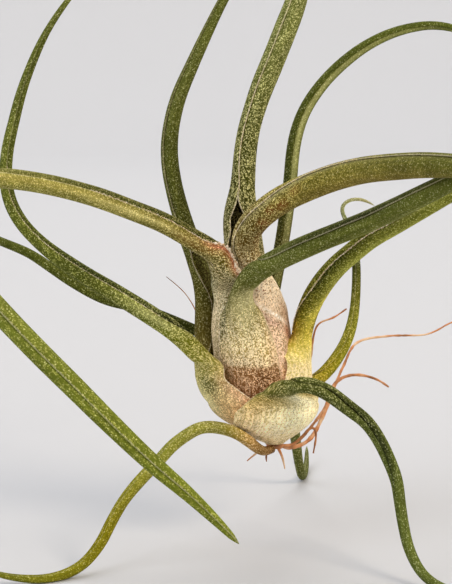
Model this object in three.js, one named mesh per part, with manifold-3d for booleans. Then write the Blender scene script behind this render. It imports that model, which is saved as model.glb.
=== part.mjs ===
// Tillandsia bulbosa x butzii: an air plant with a bulb of clasping leaf sheaths and thin rolled blades.
// Millimetres, +Z up, the front toward -Y. It is drawn from the underside of its bulb, and the whole plant
// is then moved so that its box stands centred on the surface.
import * as THREE from "three";
import { mergeVertices } from "three/addons/utils/BufferGeometryUtils.js";
import Module from "manifold-3d";

const wasm = await Module();
wasm.setup();

// Driving dimensions.
const bulbFoot = -0.3; // height where the outermost sheaths leave the stem
const sheathPitch = 1.3; // rise from one sheath's foot to the next one inside it
const sheathWall = 0.75;
const footFullness = 2.3; // the higher, the more the bulb's underside runs to a point
const axisLean = -0.1; // the bulb leans to the left as it rises
const axisFoot = 2.4; // and its foot bends to the right
const axisFootHeight = 6;
const stemRadius = 2;
const stemTaper = 0.08; // loss of stem radius for each mm of height
const stemBottom = -1.5;
const stemTop = 9;
const clearance = 0.3; // between pieces that touch
const surfaceHeight = -22; // the surface that the low leaves rest on
const columns = 8; // facets across a wide sheath
const thinColumns = 6; // facets across a narrow one
const sheathStep = 3.2; // between rings up a sheath
const rollStep = 1.3; // and where it narrows and rolls up
const bladeStep = 7;
const thinBladeStep = 6;
const closedWrap = 166; // degrees on each side of the back, when a blade is rolled up
const hollowUntil = 0.55; // share of the rolling up over which the inside stays a shell
const slitHalfWidth = 0.13; // of a rolled blade's radius, as are the next two
const slitFloor = -0.15; // depth of the groove's floor, from the blade's middle toward the back
const slitMouth = 0.8;
const leastRadius = 0.1;
const footSteps = 6; // rings round the rounded foot of a sheath
const spreadFrom = 0.62; // share of the foot below which its width stays that of the base
const spreadTo = 1.05;
const neckLength = 6; // blade past the neck that has close rings
const neckStep = 2;
const levelFrom = -1; // over which the rings turn from level to square across the blade
const levelTo = 4;
const twistLength = 14; // past the neck, over which the slit turns to its own way
const rootSides = 5;
const rootStep = 3.4;
const stemSides = 16;
const stemChamfer = 0.8;
const stemRings = [-0.9, 0.8, 2.6, 4.6, 6.8];
const groundSize = 400;
const weld = 1e-4;
const rootBrown = 0x8a6a45;

const degree = Math.PI / 180;
const up = new THREE.Vector3(0, 0, 1);
const vector = (p) => new THREE.Vector3(p[0], p[1], p[2]);
const smooth = (a, b, x) => THREE.MathUtils.smoothstep(x, a, b);
const mix = THREE.MathUtils.lerp;

// A turn of 0 degrees faces the front and 90 the right.
const outward = (turn) => new THREE.Vector3(Math.sin(turn * degree), -Math.cos(turn * degree), 0);
const axisAt = (height) =>
  new THREE.Vector3(axisLean * height + axisFoot * Math.exp(-height / axisFootHeight), 0, height);

// A sheath row's arc is as wide as the bulb there, unless its last number gives it a radius of its own.
const arcOf = ([, backRadius, , , ownRadius]) => ownRadius ?? backRadius;

// Reads a table of rows, each led by its height, at one height.
function readTable(table, height) {
  let i = 1;
  while (i < table.length - 1 && table[i][0] < height) i++;
  const [low, high] = [table[i - 1], table[i]];
  const part = THREE.MathUtils.clamp((height - low[0]) / (high[0] - low[0]), 0, 1);
  const row = low.slice(0, 4).map((value, k) => mix(value, high[k], part));
  return [...row, mix(arcOf(low), arcOf(high), part)];
}

// Reads evenly spaced values at a fraction from 0 to 1.
function readEven(values, fraction) {
  const place = THREE.MathUtils.clamp(fraction, 0, 1) * (values.length - 1);
  const i = Math.min(Math.floor(place), values.length - 2);
  return mix(values[i], values[i + 1], place - i);
}

// Leaves, from the outermost sheath in. base is the turn and half wrap of the sheath's foot. sheath rows are
// height, radius of the back, turn of the back, half of the wrap in degrees, and the arc's own radius where
// that isn't the bulb's. roll is the height where the blade starts to roll up and how far past the neck it is
// closed. radii run evenly from the neck to the tip, groove is the way the closed slit faces, and route is
// the blade's centre line. A strip is a leaf whose sheath is hidden, so it is a rolled blade all along.
const leaves = [
  {
    name: "leaf_front_right_low",
    colour: 0x7d8a4a,
    layer: 0,
    base: [30, 70],
    sheath: [
      [8.8, 12.6, 34, 60], [10, 13.3, 35, 53], [11, 13.7, 30.5, 41.5], [12, 14.1, 24, 29],
      [13, 14.8, 20, 20],
    ],
    roll: [11.6, 4],
    radii: [1.75, 1.6, 1.35, 1.2, 1.0, 0.75, 0.4],
    groove: [0.35, -0.75, 0.55],
    route: [
      [5.4, -14.4, 14.9], [8.2, -15.7, 15.7], [11, -16.4, 15.2], [13.8, -17.1, 13.8], [17, -18, 11.5],
      [21, -19, 8.5], [23.5, -20, 5], [25.5, -21, 1], [27, -22, -3], [27.5, -23.5, -7], [28, -25.5, -11],
      [29, -28.5, -15.5], [31.5, -32, -19.6], [36, -36.5, -21.3], [42, -40.5, -20.7], [49, -43.5, -19.4],
      [56, -45, -17.6],
    ],
  },
  {
    name: "leaf_back_low",
    colour: 0x76854a,
    layer: 0,
    base: [192, 42],
    sheath: [[8.8, 12.8, 190, 40], [10.5, 13.3, 184, 28], [12, 14.2, 180, 20], [13.5, 15.2, 177, 18]],
    roll: [10.5, 2],
    radii: [1.7, 1.7, 1.6, 1.4, 1.2, 1.0, 0.75, 0.4],
    groove: [0, 0.3, 1],
    narrow: true,
    route: [
      [0.5, 17, 15.5], [2.5, 21.5, 15.5], [4.5, 26.5, 12], [6.5, 31, 6], [8, 35, -1], [9, 38.5, -8],
      [10, 42, -15], [11, 46.5, -19.9], [12, 53, -21.4], [13, 61, -20.4], [13.5, 69, -18],
    ],
  },
  {
    name: "leaf_front_left_low",
    colour: 0x8a7a4c,
    strip: true,
    radii: [0.9, 1.15, 1.3, 1.3, 1.3, 1.3, 1.3, 1.2, 1.2, 1.15, 1.05, 0.9, 0.7, 0.4],
    groove: [0, -0.6, 0.8],
    narrow: true,
    start: [2.1, -2.8, -1.1],
    turn: -20,
    route: [
      [0.5, -5, -1.1], [-1.2, -7.3, 0.2], [-3.2, -9.1, 2.3], [-5.5, -10, 4.1], [-8, -10.9, 5.2],
      [-11, -11.8, 5.9], [-13.5, -12.5, 5.8], [-16, -13.2, 4.5], [-19, -14, 2.4], [-22, -15, -0.8],
      [-26, -16.5, -4.8], [-29, -17.8, -8.3], [-31.3, -19.5, -12], [-33.8, -22, -16.5],
      [-37.5, -25, -20.1], [-43, -28.5, -21.4], [-50, -31, -20.5], [-57, -32, -18.4],
    ],
  },
  {
    name: "leaf_left_outer",
    colour: 0x6f8440,
    layer: 1,
    base: [-68, 65],
    sheath: [
      [8.9, 11.5, -68, 65], [10.5, 12.5, -68, 59], [12.5, 13.1, -68, 47], [14.5, 13.4, -67, 35],
      [16, 13.8, -63, 25], [17.6, 14.5, -58, 21], [19, 15.3, -53, 19],
    ],
    roll: [14.6, 3],
    radii: [2.0, 2.05, 2.0, 1.75, 1.45, 1.35, 1.2, 0.95, 0.65, 0.35],
    groove: [0.2, -0.88, 0.42],
    route: [
      [-15.5, -9, 22.7], [-19, -9.4, 26], [-23.4, -9.6, 29.1], [-27.5, -10, 31.8], [-31.3, -10, 34.2],
      [-36, -10, 37], [-40.2, -9.8, 39.7], [-44.3, -9.5, 42.6], [-47.8, -9, 45.6], [-50.5, -8.6, 48.7],
      [-52.4, -8.2, 52], [-53.4, -7.6, 55.3], [-53.7, -7, 59],
      [-53.3, -6, 63.8], [-52, -5, 69.6], [-50.5, -4, 75.4], [-48.5, -3, 81], [-45.5, -2, 87.5],
      [-41.5, 0, 93.8], [-36.5, 3, 100],
    ],
  },
  {
    name: "leaf_curled",
    colour: 0x75863c,
    layer: 1,
    base: [128, 42],
    sheath: [[8.6, 11.4, 128, 37], [9.4, 12.6, 126, 22], [10.6, 14.8, 126, 18]],
    roll: [8.8, 2],
    step: 3.2,
    radii: [1.6, 1.55, 1.4, 1.2, 1.05, 0.9, 0.6, 0.42, 0.35],
    groove: [-0.3, -0.9, 0.1],
    narrow: true,
    route: [
      [13.6, 11.3, 12.2], [16.5, 14, 14.8], [19, 17, 18], [20.6, 19, 21.4], [21.6, 21, 25.5], [22, 22, 30],
      [22.1, 23, 35.5], [21.7, 24, 40.3], [20.7, 25, 44], [19.3, 26, 46.8], [18.7, 26.6, 48.4],
      [19.4, 27.1, 49.7], [21, 27.6, 50.5], [22.8, 28.1, 50.6], [24.7, 28.5, 50.1], [26.6, 29, 49],
    ],
  },
  {
    name: "leaf_right_outer",
    colour: 0x7f8f43,
    layer: 2,
    base: [80, 66],
    sheath: [
      [9.4, 10.4, 80, 66], [11.5, 11.2, 80, 58], [14, 12, 80, 48], [17, 12.2, 79, 42], [19, 12.4, 76, 37],
      [21, 12.8, 74, 29], [23.5, 13.3, 73, 20],
    ],
    roll: [18.5, 1],
    radii: [2.2, 2.35, 2.2, 2.0, 1.7, 1.3, 0.9, 0.4],
    groove: [-0.45, -0.75, 0.45],
    route: [
      [8.9, -3.4, 27], [10.4, -4, 31.4], [12.6, -5.4, 35.5], [15.4, -7.8, 39.4], [18.5, -10.4, 42.6],
      [22, -13, 45.8], [26.5, -16, 48.8], [31, -19, 51.8], [37, -22, 55.6], [44, -25, 59.4],
      [51.5, -27, 62.5], [59, -28, 64.2], [65.5, -28, 64.5],
    ],
  },
  {
    name: "leaf_left_back",
    colour: 0x6c7f3f,
    layer: 2,
    base: [-148, 58],
    sheath: [
      [9.4, 10.4, -148, 56], [11.5, 11, -150, 46], [13.5, 11.6, -153, 34], [15, 12.4, -155, 25],
      [16.8, 13.6, -155, 18], [18.6, 14.7, -152, 16],
    ],
    roll: [14.5, 2],
    radii: [1.3, 1.25, 1.2, 1.15, 1.0, 0.9, 0.7, 0.35],
    groove: [0, -0.5, 0.85],
    narrow: true,
    route: [
      [-10.8, 12.9, 20.8], [-14.8, 13.6, 22.2], [-20, 14.7, 24.3], [-27.5, 17.3, 26.7], [-35.5, 19.4, 28.4],
      [-43, 20.6, 32.2], [-48, 21.5, 35.5], [-53, 23.2, 38.5], [-61, 27, 41.3], [-70, 31, 45],
      [-80, 35, 50.5], [-88.5, 37, 59], [-94.5, 38, 68.5],
    ],
  },
  {
    name: "leaf_up_left",
    colour: 0x66803a,
    layer: 3,
    base: [-106, 50],
    sheath: [
      [10.4, 9.3, -107, 50], [13, 10, -109, 44], [15.8, 11.2, -112, 29], [17.8, 12.6, -117, 23],
      [19.5, 13.8, -120, 20], [21, 14.4, -121, 18],
    ],
    roll: [15.5, 2],
    radii: [2.15, 2.1, 2.1, 2.0, 1.9, 1.7, 1.4, 1.1, 0.8, 0.4],
    groove: [-0.8, -0.6, 0],
    route: [
      [-12.6, 8, 25.5], [-12.6, 10, 30.5], [-13.2, 11.5, 35], [-14.6, 13, 39.5], [-16.4, 14, 44],
      [-18.5, 15, 50.5], [-20, 16, 57], [-20.5, 17, 62.5], [-20, 18, 68], [-18.5, 19, 74],
      [-15.5, 20, 81], [-12, 21, 88.5], [-8.5, 22, 95.5], [-4.5, 24, 102.5], [0.5, 27, 108], [6, 30, 112],
    ],
  },
  {
    name: "leaf_right_front",
    colour: 0x8b8a52,
    layer: 3,
    base: [-9, 43],
    sheath: [
      [10.4, 9.3, -9, 43], [13, 9.9, -9, 42], [17, 10, -10, 40], [22, 9.9, -10, 38], [25, 10.1, -10, 33],
      [27.5, 10.9, -11, 28], [30, 12, -11, 23], [32.5, 13.1, -9, 19], [34.8, 13.9, -5, 18],
    ],
    roll: [26, 1],
    radii: [2.35, 2.3, 2.2, 2.1, 2.0, 1.8, 1.4, 0.9, 0.4],
    groove: [-0.2, -0.8, 0.5],
    route: [
      [-2.3, -13, 38.2], [0.5, -15.3, 40.4], [4.5, -19, 43], [9.5, -24, 45.9], [14.5, -29, 48.6],
      [19, -35, 51.2], [23, -41, 53.9], [28, -50, 57.6], [32, -57, 60.6], [37, -66, 64.3], [42, -74, 68.4],
      [46.5, -80, 73], [49, -84, 78],
    ],
  },
  {
    name: "leaf_right_near",
    colour: 0x86804a,
    layer: 4,
    base: [52, 70],
    sheath: [
      [11.4, 8.2, 52, 70], [14, 8.5, 52, 70], [18, 8.5, 52, 70], [24, 8.5, 52, 69], [28, 8.3, 51, 64],
      [31, 8.3, 45, 58], [34, 8.8, 34, 52], [37, 9.2, 22, 50], [40, 9.2, 12, 50], [42.5, 9.3, 4, 50],
    ],
    roll: [28, -1],
    radii: [2.92, 2.82, 2.7, 2.55, 2.4, 2.1, 1.7, 1.2, 0.5],
    groove: [-0.3, -0.35, 0.9],
    route: [
      [-3.5, -8.5, 46.4], [-1.8, -10.8, 49.2], [0.7, -13.9, 51.8], [3.7, -17.3, 54.2], [8, -22, 56.7],
      [12.5, -28, 59], [17.5, -36, 61], [22, -45, 62.2], [26.5, -54, 63.1], [31, -63, 63.5],
      [36, -73, 63.4], [40.5, -82, 62.6], [45.5, -90, 60.8], [49.5, -96, 58], [52, -100, 54],
    ],
  },
  {
    name: "leaf_left_near",
    colour: 0x8f8a45,
    layer: 4,
    base: [-85, 60],
    sheath: [
      [11.4, 8.2, -85, 60], [14, 8.6, -85, 60], [18, 8.7, -85, 60], [24, 8.6, -84, 58], [28, 8, -79, 50],
      [31, 7.3, -72, 47], [34, 7.9, -54, 50, 6], [36, 10, -30, 64, 4.6], [37.5, 11.2, -27, 80, 4],
      [39.5, 12, -30, 105, 3.1],
    ],
    roll: [38, 6],
    radii: [2.35, 2.1, 2.0, 1.9, 1.85, 1.85, 1.8, 1.75, 1.6, 1.2, 0.4],
    groove: [0.1, -0.9, 0.35],
    route: [
      [-9.9, -9.5, 42.1], [-14.2, -13, 45.3], [-20, -18, 49.2], [-27, -24.5, 52.8], [-34, -31, 56],
      [-42, -39.5, 58.8], [-49, -48, 60.4], [-53.8, -58, 60.4], [-56, -70, 58.6], [-54.5, -82, 55],
      [-50, -91, 50.6], [-43.5, -98, 45.3], [-36, -103, 38.7], [-30, -105, 33.2], [-24.5, -105, 27.5],
      [-19, -104, 21.8], [-13.5, -101, 16], [-9.2, -97, 10.6], [-5.8, -92, 5.5],
    ],
  },
  {
    name: "leaf_up_right",
    colour: 0x6f8a3c,
    layer: 5,
    base: [150, 60],
    sheath: [
      [12.4, 7.3, 152, 58], [17, 7.4, 155, 46], [19.5, 7.5, 157, 33], [21.2, 8.5, 157, 26],
      [23.5, 10, 156, 21], [26, 11, 153, 19], [28.5, 11.6, 151, 18], [30.5, 12, 149, 18],
    ],
    roll: [19, -4],
    radii: [1.6, 1.6, 1.55, 1.5, 1.4, 1.2, 0.9, 0.4],
    groove: [-0.2, -0.95, 0],
    narrow: true,
    route: [
      [3.2, 10.5, 35], [4.4, 12.3, 41], [5.5, 14, 47.8], [6.5, 16, 55.5], [7.1, 18, 61.5], [8.2, 20, 66.7],
      [10, 22, 71.2], [13.2, 24, 76], [18, 26, 81], [24.5, 28, 85.8], [32, 30, 89.1], [40.5, 32, 90.3],
      [48.5, 33, 88.4], [56, 34, 83.5],
    ],
  },
  {
    name: "leaf_centre",
    colour: 0x7d9145,
    layer: 6,
    base: [150, 115],
    sheath: [
      [13.4, 6.2, 150, 115], [20, 6.2, 150, 115], [26, 6.2, 152, 112], [30, 6.3, 156, 112, 5.6],
      [34, 6.5, 162, 115, 4.9], [38, 6.5, 168, 118, 4.5], [42, 6.3, 172, 126, 4.25], [46, 5.8, 172, 149, 4.05],
      [49, 5.1, 169, 152, 3.75],
    ],
    roll: [48, 7],
    radii: [3.1, 2.5, 2.35, 2.5, 2.5, 2.1, 1.5, 0.5],
    groove: [-0.6, -0.8, 0],
    route: [
      [-4.4, 1.1, 53.5], [-4.1, 1.5, 57.6], [-3.7, 1.9, 62.6], [-2.9, 2.2, 67.6], [-1.5, 2.6, 72.5],
      [0.1, 3.2, 77], [1.8, 4, 81], [4.6, 5, 88],
      [7.4, 6, 95.5], [8.9, 7, 103.5], [8.6, 8, 111.5], [6.4, 9, 119.5],
    ],
  },
];

// The blade's centre line, from just under the neck to the tip, with the length where the neck ends.
function bladeCurve(leaf) {
  const knee = 2; // height of the stretch under the neck that steers the curve
  const route = leaf.route.map(vector);
  if (leaf.strip) {
    const begin = vector(leaf.start);
    const back = begin.clone().add(begin.clone().sub(route[0]).normalize().multiplyScalar(knee));
    route.unshift(back, begin);
  } else {
    const top = leaf.sheath.at(-1)[0];
    route.unshift(centreAt(leaf, top - knee), centreAt(leaf, top));
  }
  const curve = new THREE.CatmullRomCurve3(route, false, "centripetal");
  const fine = 12;
  curve.arcLengthDivisions = (route.length - 1) * fine;
  const lengths = curve.getLengths();
  return { curve, neck: lengths[fine], total: lengths.at(-1) };
}

// Centre of the closed blade, were it closed at this height of the sheath.
function centreAt(leaf, height) {
  const [, radius, turn] = readTable(leaf.sheath, height);
  return axisAt(height).add(outward(turn).multiplyScalar(radius - leaf.radii[0]));
}

// Heights of a sheath's rings, closer together where it narrows and rolls up.
function sheathHeights(bottom, narrowing, top) {
  const start = Math.max(bottom, narrowing);
  const low = Math.ceil((start - bottom) / sheathStep);
  const high = Math.ceil((top - start) / rollStep);
  const heights = [];
  for (let i = 0; i < low; i++) heights.push(mix(bottom, start, i / low));
  for (let i = 0; i <= high; i++) heights.push(mix(start, top, i / high));
  return heights;
}

// One ring of a leaf, from the middle of its back, the frame there, the arc's radius and its half wrap: the
// outer arc from one margin to the other, and the inner one back. closed runs from 0 for an open sheath to 1
// for a rolled blade, whose inside is a plain groove.
function leafRing(across, back, inward, side, arcRadius, halfWrap, closed) {
  const outer = [];
  const inner = [];
  const centre = back.clone().addScaledVector(inward, arcRadius);
  for (let i = 0; i <= across; i++) {
    const v = (2 * i) / across - 1;
    const angle = v * halfWrap * degree;
    const place = (radius) => centre.clone()
      .addScaledVector(inward, -radius * Math.cos(angle))
      .addScaledVector(side, radius * Math.sin(angle));
    const slit = centre.clone()
      .addScaledVector(inward, arcRadius * mix(slitFloor, slitMouth, Math.abs(v)))
      .addScaledVector(side, arcRadius * slitHalfWidth * v);
    outer.push(place(arcRadius));
    inner.push(place(Math.max(arcRadius - sheathWall, leastRadius)).lerp(slit, closed));
  }
  return [...outer, ...inner.reverse()];
}

// The rounded foot of a sheath, from the stem to its first row.
function footRings(leaf, across) {
  const [top, radius, firstTurn, firstWrap] = leaf.sheath[0];
  const bottom = bulbFoot + sheathPitch * leaf.layer;
  const stem = stemRadius - stemTaper * bottom + clearance;
  const rings = [];
  for (let i = 0; i < footSteps; i++) {
    const angle = (i / footSteps) * (Math.PI / 2);
    const spread = smooth(spreadFrom, spreadTo, i / footSteps);
    const middle = mix(leaf.base[0], firstTurn, spread);
    const wrap = mix(leaf.base[1], firstWrap, spread);
    const place = (turn, depth) => {
      const height = top - (top - bottom - depth) * Math.cos(angle);
      const out = stem + (radius - depth - stem) * Math.pow(Math.sin(angle), footFullness);
      return axisAt(height).addScaledVector(outward(turn), out);
    };
    const outer = [];
    const inner = [];
    for (let k = 0; k <= across; k++) {
      const turn = middle + ((2 * k) / across - 1) * wrap;
      outer.push(place(turn, 0));
      inner.push(place(turn, sheathWall));
    }
    rings.push([...outer, ...inner.reverse()]);
  }
  return rings;
}

// The sheath from its first row up to the neck.
function sheathRings(leaf, across) {
  const neckHeight = leaf.sheath.at(-1)[0];
  const narrowing = Math.min(leaf.roll[0], leaf.sheath.at(-3)[0]);
  return sheathHeights(leaf.sheath[0][0], narrowing, neckHeight).map((height) => {
    const [, backRadius, turn, wrap, openRadius] = readTable(leaf.sheath, height);
    const closed = smooth(leaf.roll[0], neckHeight + leaf.roll[1], height);
    const half = mix(wrap, closedWrap, closed);
    const arc = mix(openRadius * wrap, leaf.radii[0] * closedWrap, closed);
    const out = outward(turn);
    const back = axisAt(height).addScaledVector(out, backRadius);
    const side = up.clone().cross(out);
    return leafRing(across, back, out.negate(), side, arc / half, half, smooth(hollowUntil, 1, closed));
  });
}

// The blade beyond the neck, with closer rings next to it.
function bladeRings(leaf, across) {
  const { curve, neck, total } = bladeCurve(leaf);
  const length = total - neck;
  const near = leaf.strip ? 0 : neckLength;
  const close = near / neckStep;
  const far = Math.round((length - near) / (leaf.step ?? (leaf.narrow ? thinBladeStep : bladeStep)));
  const [neckHeight, , neckTurn, neckWrap, neckRadius] = leaf.strip
    ? [0, 0, leaf.turn, 0, 0]
    : readTable(leaf.sheath, leaf.sheath.at(-1)[0]);
  const rings = [];
  for (let i = leaf.strip ? 0 : 1; i <= close + far; i++) {
    const along = i <= close ? i * neckStep : near + ((length - near) * (i - close)) / far;
    const u = Math.min((neck + along) / total, 1);
    const tilt = curve.getTangentAt(u);
    if (!leaf.strip) tilt.lerp(up, 1 - smooth(levelFrom, levelTo, along)).normalize();
    const twist = smooth(0, twistLength, along);
    const facing = outward(neckTurn).negate().lerp(vector(leaf.groove).normalize(), twist);
    const inward = facing.addScaledVector(tilt, -facing.dot(tilt)).normalize();
    const side = inward.clone().cross(tilt);
    const radius = readEven(leaf.radii, along / length);
    const late = !leaf.strip && leaf.roll[1] > 0;
    const closed = late ? smooth(leaf.roll[0], neckHeight + leaf.roll[1], neckHeight + along) : 1;
    const half = mix(neckWrap, closedWrap, closed);
    const arc = mix(neckRadius * neckWrap, radius * closedWrap, closed);
    const back = curve.getPointAt(u).addScaledVector(inward, -radius);
    rings.push(leafRing(across, back, inward, side, arc / half, half, smooth(hollowUntil, 1, closed)));
  }
  return rings;
}

function leafSections(leaf) {
  const across = leaf.narrow ? thinColumns : columns;
  const blade = bladeRings(leaf, across);
  return leaf.strip ? blade : [...footRings(leaf, across), ...sheathRings(leaf, across), ...blade];
}

// Closes a stack of rings into one solid. Each ring runs out along one side and back along the other, so
// both ends are closed by strips between the two sides.
function solidOf(sections) {
  const count = sections[0].length;
  const positions = sections.flat().flatMap((p) => [p.x, p.y, p.z]);
  const index = [];
  for (let row = 0; row < sections.length - 1; row++) {
    for (let i = 0; i < count; i++) {
      const a = row * count + i;
      const b = row * count + ((i + 1) % count);
      index.push(a, b, b + count, a, b + count, a + count);
    }
  }
  const cap = (row, flip) => {
    for (let i = 0; i < count / 2 - 1; i++) {
      const [a, b] = [row * count + i, row * count + i + 1];
      const [c, d] = [row * count + count - 2 - i, row * count + count - 1 - i];
      const faces = flip ? [a, b, c, a, c, d] : [a, c, b, a, d, c];
      index.push(...faces);
    }
  };
  cap(0, false);
  cap(sections.length - 1, true);
  const geometry = new THREE.BufferGeometry();
  geometry.setAttribute("position", new THREE.Float32BufferAttribute(positions, 3));
  geometry.setIndex(index);
  return manifoldOf(geometry);
}

function manifoldOf(geometry) {
  const bare = geometry.clone();
  bare.deleteAttribute("normal");
  bare.deleteAttribute("uv");
  const merged = mergeVertices(bare, weld);
  return new wasm.Manifold(
    new wasm.Mesh({
      numProp: 3,
      vertProperties: merged.attributes.position.array,
      triVerts: new Uint32Array(merged.index.array),
    }),
  );
}

function geometryOf(solid) {
  const mesh = solid.getMesh();
  const geometry = new THREE.BufferGeometry();
  geometry.setAttribute("position", new THREE.BufferAttribute(new Float32Array(mesh.vertProperties), 3));
  geometry.setIndex(new THREE.BufferAttribute(new Uint32Array(mesh.triVerts), 1));
  const flat = geometry.toNonIndexed();
  flat.computeVertexNormals();
  return flat;
}

// Wiry roots: thickness, then the points of the route from inside the stem's foot.
const roots = [
  { width: 0.9, route: [[3, 0.6, -0.9], [6, 5, -2.6], [10, 13, -1.5], [15, 22, 2.5], [20, 33, 10],
    [24, 41, 14.6], [32.5, 46, 15.4], [42.5, 50, 15.2], [48.5, 52, 17.8], [57, 54, 20.5]] },
  { width: 0.9, route: [[2.6, 1, -0.9], [4.2, 8, -2.4], [7.5, 15, 1.5], [9.8, 18, 8], [11.3, 16.2, 15],
    [11.8, 14.2, 20.5], [13, 13.4, 24], [16, 14, 24.8], [19.5, 15, 27]] },
  { width: 0.8, route: [[3.3, 0.5, -0.9], [6.5, 4.5, -2.6], [11, 10, -2], [15, 17, 3.5], [17.5, 22, 8.5],
    [22.5, 27, 9.4], [28, 29, 7.8], [31, 30, 5.6]] },
  { width: 0.9, route: [[3.5, 0.2, -0.9], [6.4, 2.4, -1.6], [9.4, 4.2, 0.2], [11.3, 5, 2.4], [12.1, 5, 1.4],
    [11.9, 4.4, -1.2], [11.4, 4, -4]] },
  { width: 0.8, route: [[3.2, -0.6, -0.9], [4.4, -1.6, -3], [5, -2.2, -6.2]] },
  { width: 0.8, route: [[1.9, 0.4, -0.9], [0.8, 0.8, -3.4], [1.2, 1.8, -5.4]] },
  { width: 0.8, route: [[1.7, -0.3, -0.9], [-1.2, -1, -2.4], [-3.6, -0.8, -4.6]] },
];

function rootSolid(root) {
  const path = new THREE.CatmullRomCurve3(root.route.map(vector), false, "centripetal");
  const outline = new THREE.Shape();
  for (let i = 0; i < rootSides; i++) {
    const angle = (i / rootSides) * 2 * Math.PI;
    const point = [root.width / 2 * Math.cos(angle), root.width / 2 * Math.sin(angle)];
    if (i) outline.lineTo(...point);
    else outline.moveTo(...point);
  }
  const steps = Math.ceil(path.getLength() / rootStep);
  return manifoldOf(new THREE.ExtrudeGeometry(outline, { steps, extrudePath: path }));
}

function stemSolid() {
  const radiusAt = (height) => stemRadius - stemTaper * height;
  const profile = [[0, stemBottom], [radiusAt(0) - stemChamfer, stemBottom]];
  for (const height of [...stemRings, stemTop]) profile.push([radiusAt(height), height]);
  profile.push([0, stemTop]);
  const turned = new THREE.LatheGeometry(profile.map(([r, z]) => new THREE.Vector2(r, z)), stemSides);
  turned.rotateX(Math.PI / 2);
  const position = turned.attributes.position;
  for (let i = 0; i < position.count; i++) {
    position.setX(i, position.getX(i) + axisAt(position.getZ(i)).x);
  }
  return roots.reduce((solid, root) => solid.add(rootSolid(root)), manifoldOf(turned));
}

// Everything under the surface that the plant rests on.
function groundSolid() {
  const block = new THREE.BoxGeometry(groundSize, groundSize, groundSize);
  block.translate(0, 0, surfaceHeight - groundSize / 2);
  return manifoldOf(block);
}

const plant = new THREE.Group();
const ground = groundSolid();

function addPiece(name, solid, colour) {
  const material = new THREE.MeshStandardMaterial({ color: colour, roughness: 0.75, metalness: 0 });
  const mesh = new THREE.Mesh(geometryOf(solid), material);
  mesh.name = name;
  plant.add(mesh);
}

for (const leaf of leaves) {
  addPiece(leaf.name, solidOf(leafSections(leaf)).subtract(ground), leaf.colour);
}
addPiece("stem_and_roots", stemSolid(), rootBrown);

// The origin is under the middle of the box, on the surface.
const box = new THREE.Box3().setFromObject(plant);
const middle = box.getCenter(new THREE.Vector3());
plant.position.set(-middle.x, -middle.y, -box.min.z);
const model = new THREE.Group();
model.add(plant);

export default model;
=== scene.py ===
# Tillandsia bulbosa x butzii: dresses the solids of an air plant with scurfy leaves and wiry roots.
# The tables are in millimetres, measured from the underside of the bulb, as the solids' source has them.
import math
import bpy
import numpy as np
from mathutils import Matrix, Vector, noise


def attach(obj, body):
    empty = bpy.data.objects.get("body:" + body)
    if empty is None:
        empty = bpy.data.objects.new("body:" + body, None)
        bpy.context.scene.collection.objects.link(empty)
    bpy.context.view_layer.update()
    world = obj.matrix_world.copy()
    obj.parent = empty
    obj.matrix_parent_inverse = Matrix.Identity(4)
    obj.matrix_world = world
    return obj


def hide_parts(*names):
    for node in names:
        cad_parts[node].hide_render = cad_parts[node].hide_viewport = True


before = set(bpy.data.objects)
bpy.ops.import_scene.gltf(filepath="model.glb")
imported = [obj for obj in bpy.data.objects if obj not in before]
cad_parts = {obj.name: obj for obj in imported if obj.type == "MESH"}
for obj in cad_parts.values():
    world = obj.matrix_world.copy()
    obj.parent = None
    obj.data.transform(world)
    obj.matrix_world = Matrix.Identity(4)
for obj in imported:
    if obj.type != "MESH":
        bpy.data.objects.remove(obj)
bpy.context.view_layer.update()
mm = 0.001

# Where the tables' origin, the underside of the bulb, lies in the frame.
plantPlace = np.array([14.64, 18.79, 22.0])

bulb = {
    "foot": -0.3,  # height where the outermost sheaths leave the stem
    "pitch": 1.3,  # rise from one sheath's foot to the next inside it
    "wall": 0.75,
    "fullness": 2.3,  # how squarely a sheath turns up from its foot
    "lean": -0.1,
    "bend": 2.4,
    "bendHeight": 6,
    "stemRadius": 2,
    "stemTaper": 0.08,
    "clearance": 0.3,
}

leafMesh = {
    "footRings": 26,
    "footSpread": (0.62, 1.05),  # part of the foot, over which it widens round the stem
    "leadIn": 2,  # mm of route below the neck
    "sheathStep": 0.5,  # mm between rings
    "bladeStep": 0.85,
    "across": 30,  # faces over the back of a wide leaf
    "acrossNarrow": 22,
    "seam": 187,  # degrees from the back to a margin, rolled up, so that one margin laps over the other
    "seamHold": 0.6,  # how well a blade keeps its section where its seam opens
    "tuck": 0.34,  # mm that the margin underneath dips
    "tuckAcross": (0.6, 0.97),
    "tuckRolled": 0.85,  # how far rolled up before it dips
    "edge": 0.3,  # share of the wall left at a margin
    "edgeAcross": 0.65,  # where the wall begins to thin
    "leanAcross": 0.3,  # where a margin begins to lean in
    "mostWall": 0.7,  # of a rolled blade's radius
    "slim": 1.6,  # mm of radius, under which the margins get finer
    "slimAcross": 0.7,
    "upright": (-1, 4),  # mm past the neck, over which level rings tilt to the blade's way
    "tip": 3,  # mm over which a blade rounds off
    "tipLeast": 0.02,
    "lip": 0.3,  # how far a margin's rounded lip stands out, as a share of the wall
    "lipInside": 0.15,  # how much of the lining's colour the lip has
    "sheathWave": 0.1,  # mm of unevenness
    "bladeWave": 0.05,
    "wavePerMm": (0.16, 0.11),  # across and along
    "waveSeed": 7.3,
    "patternSeed": 3.1,
}

# A table that stays at 0.
flat = [(0, 0, 0), (99, 0, 0)]

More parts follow.
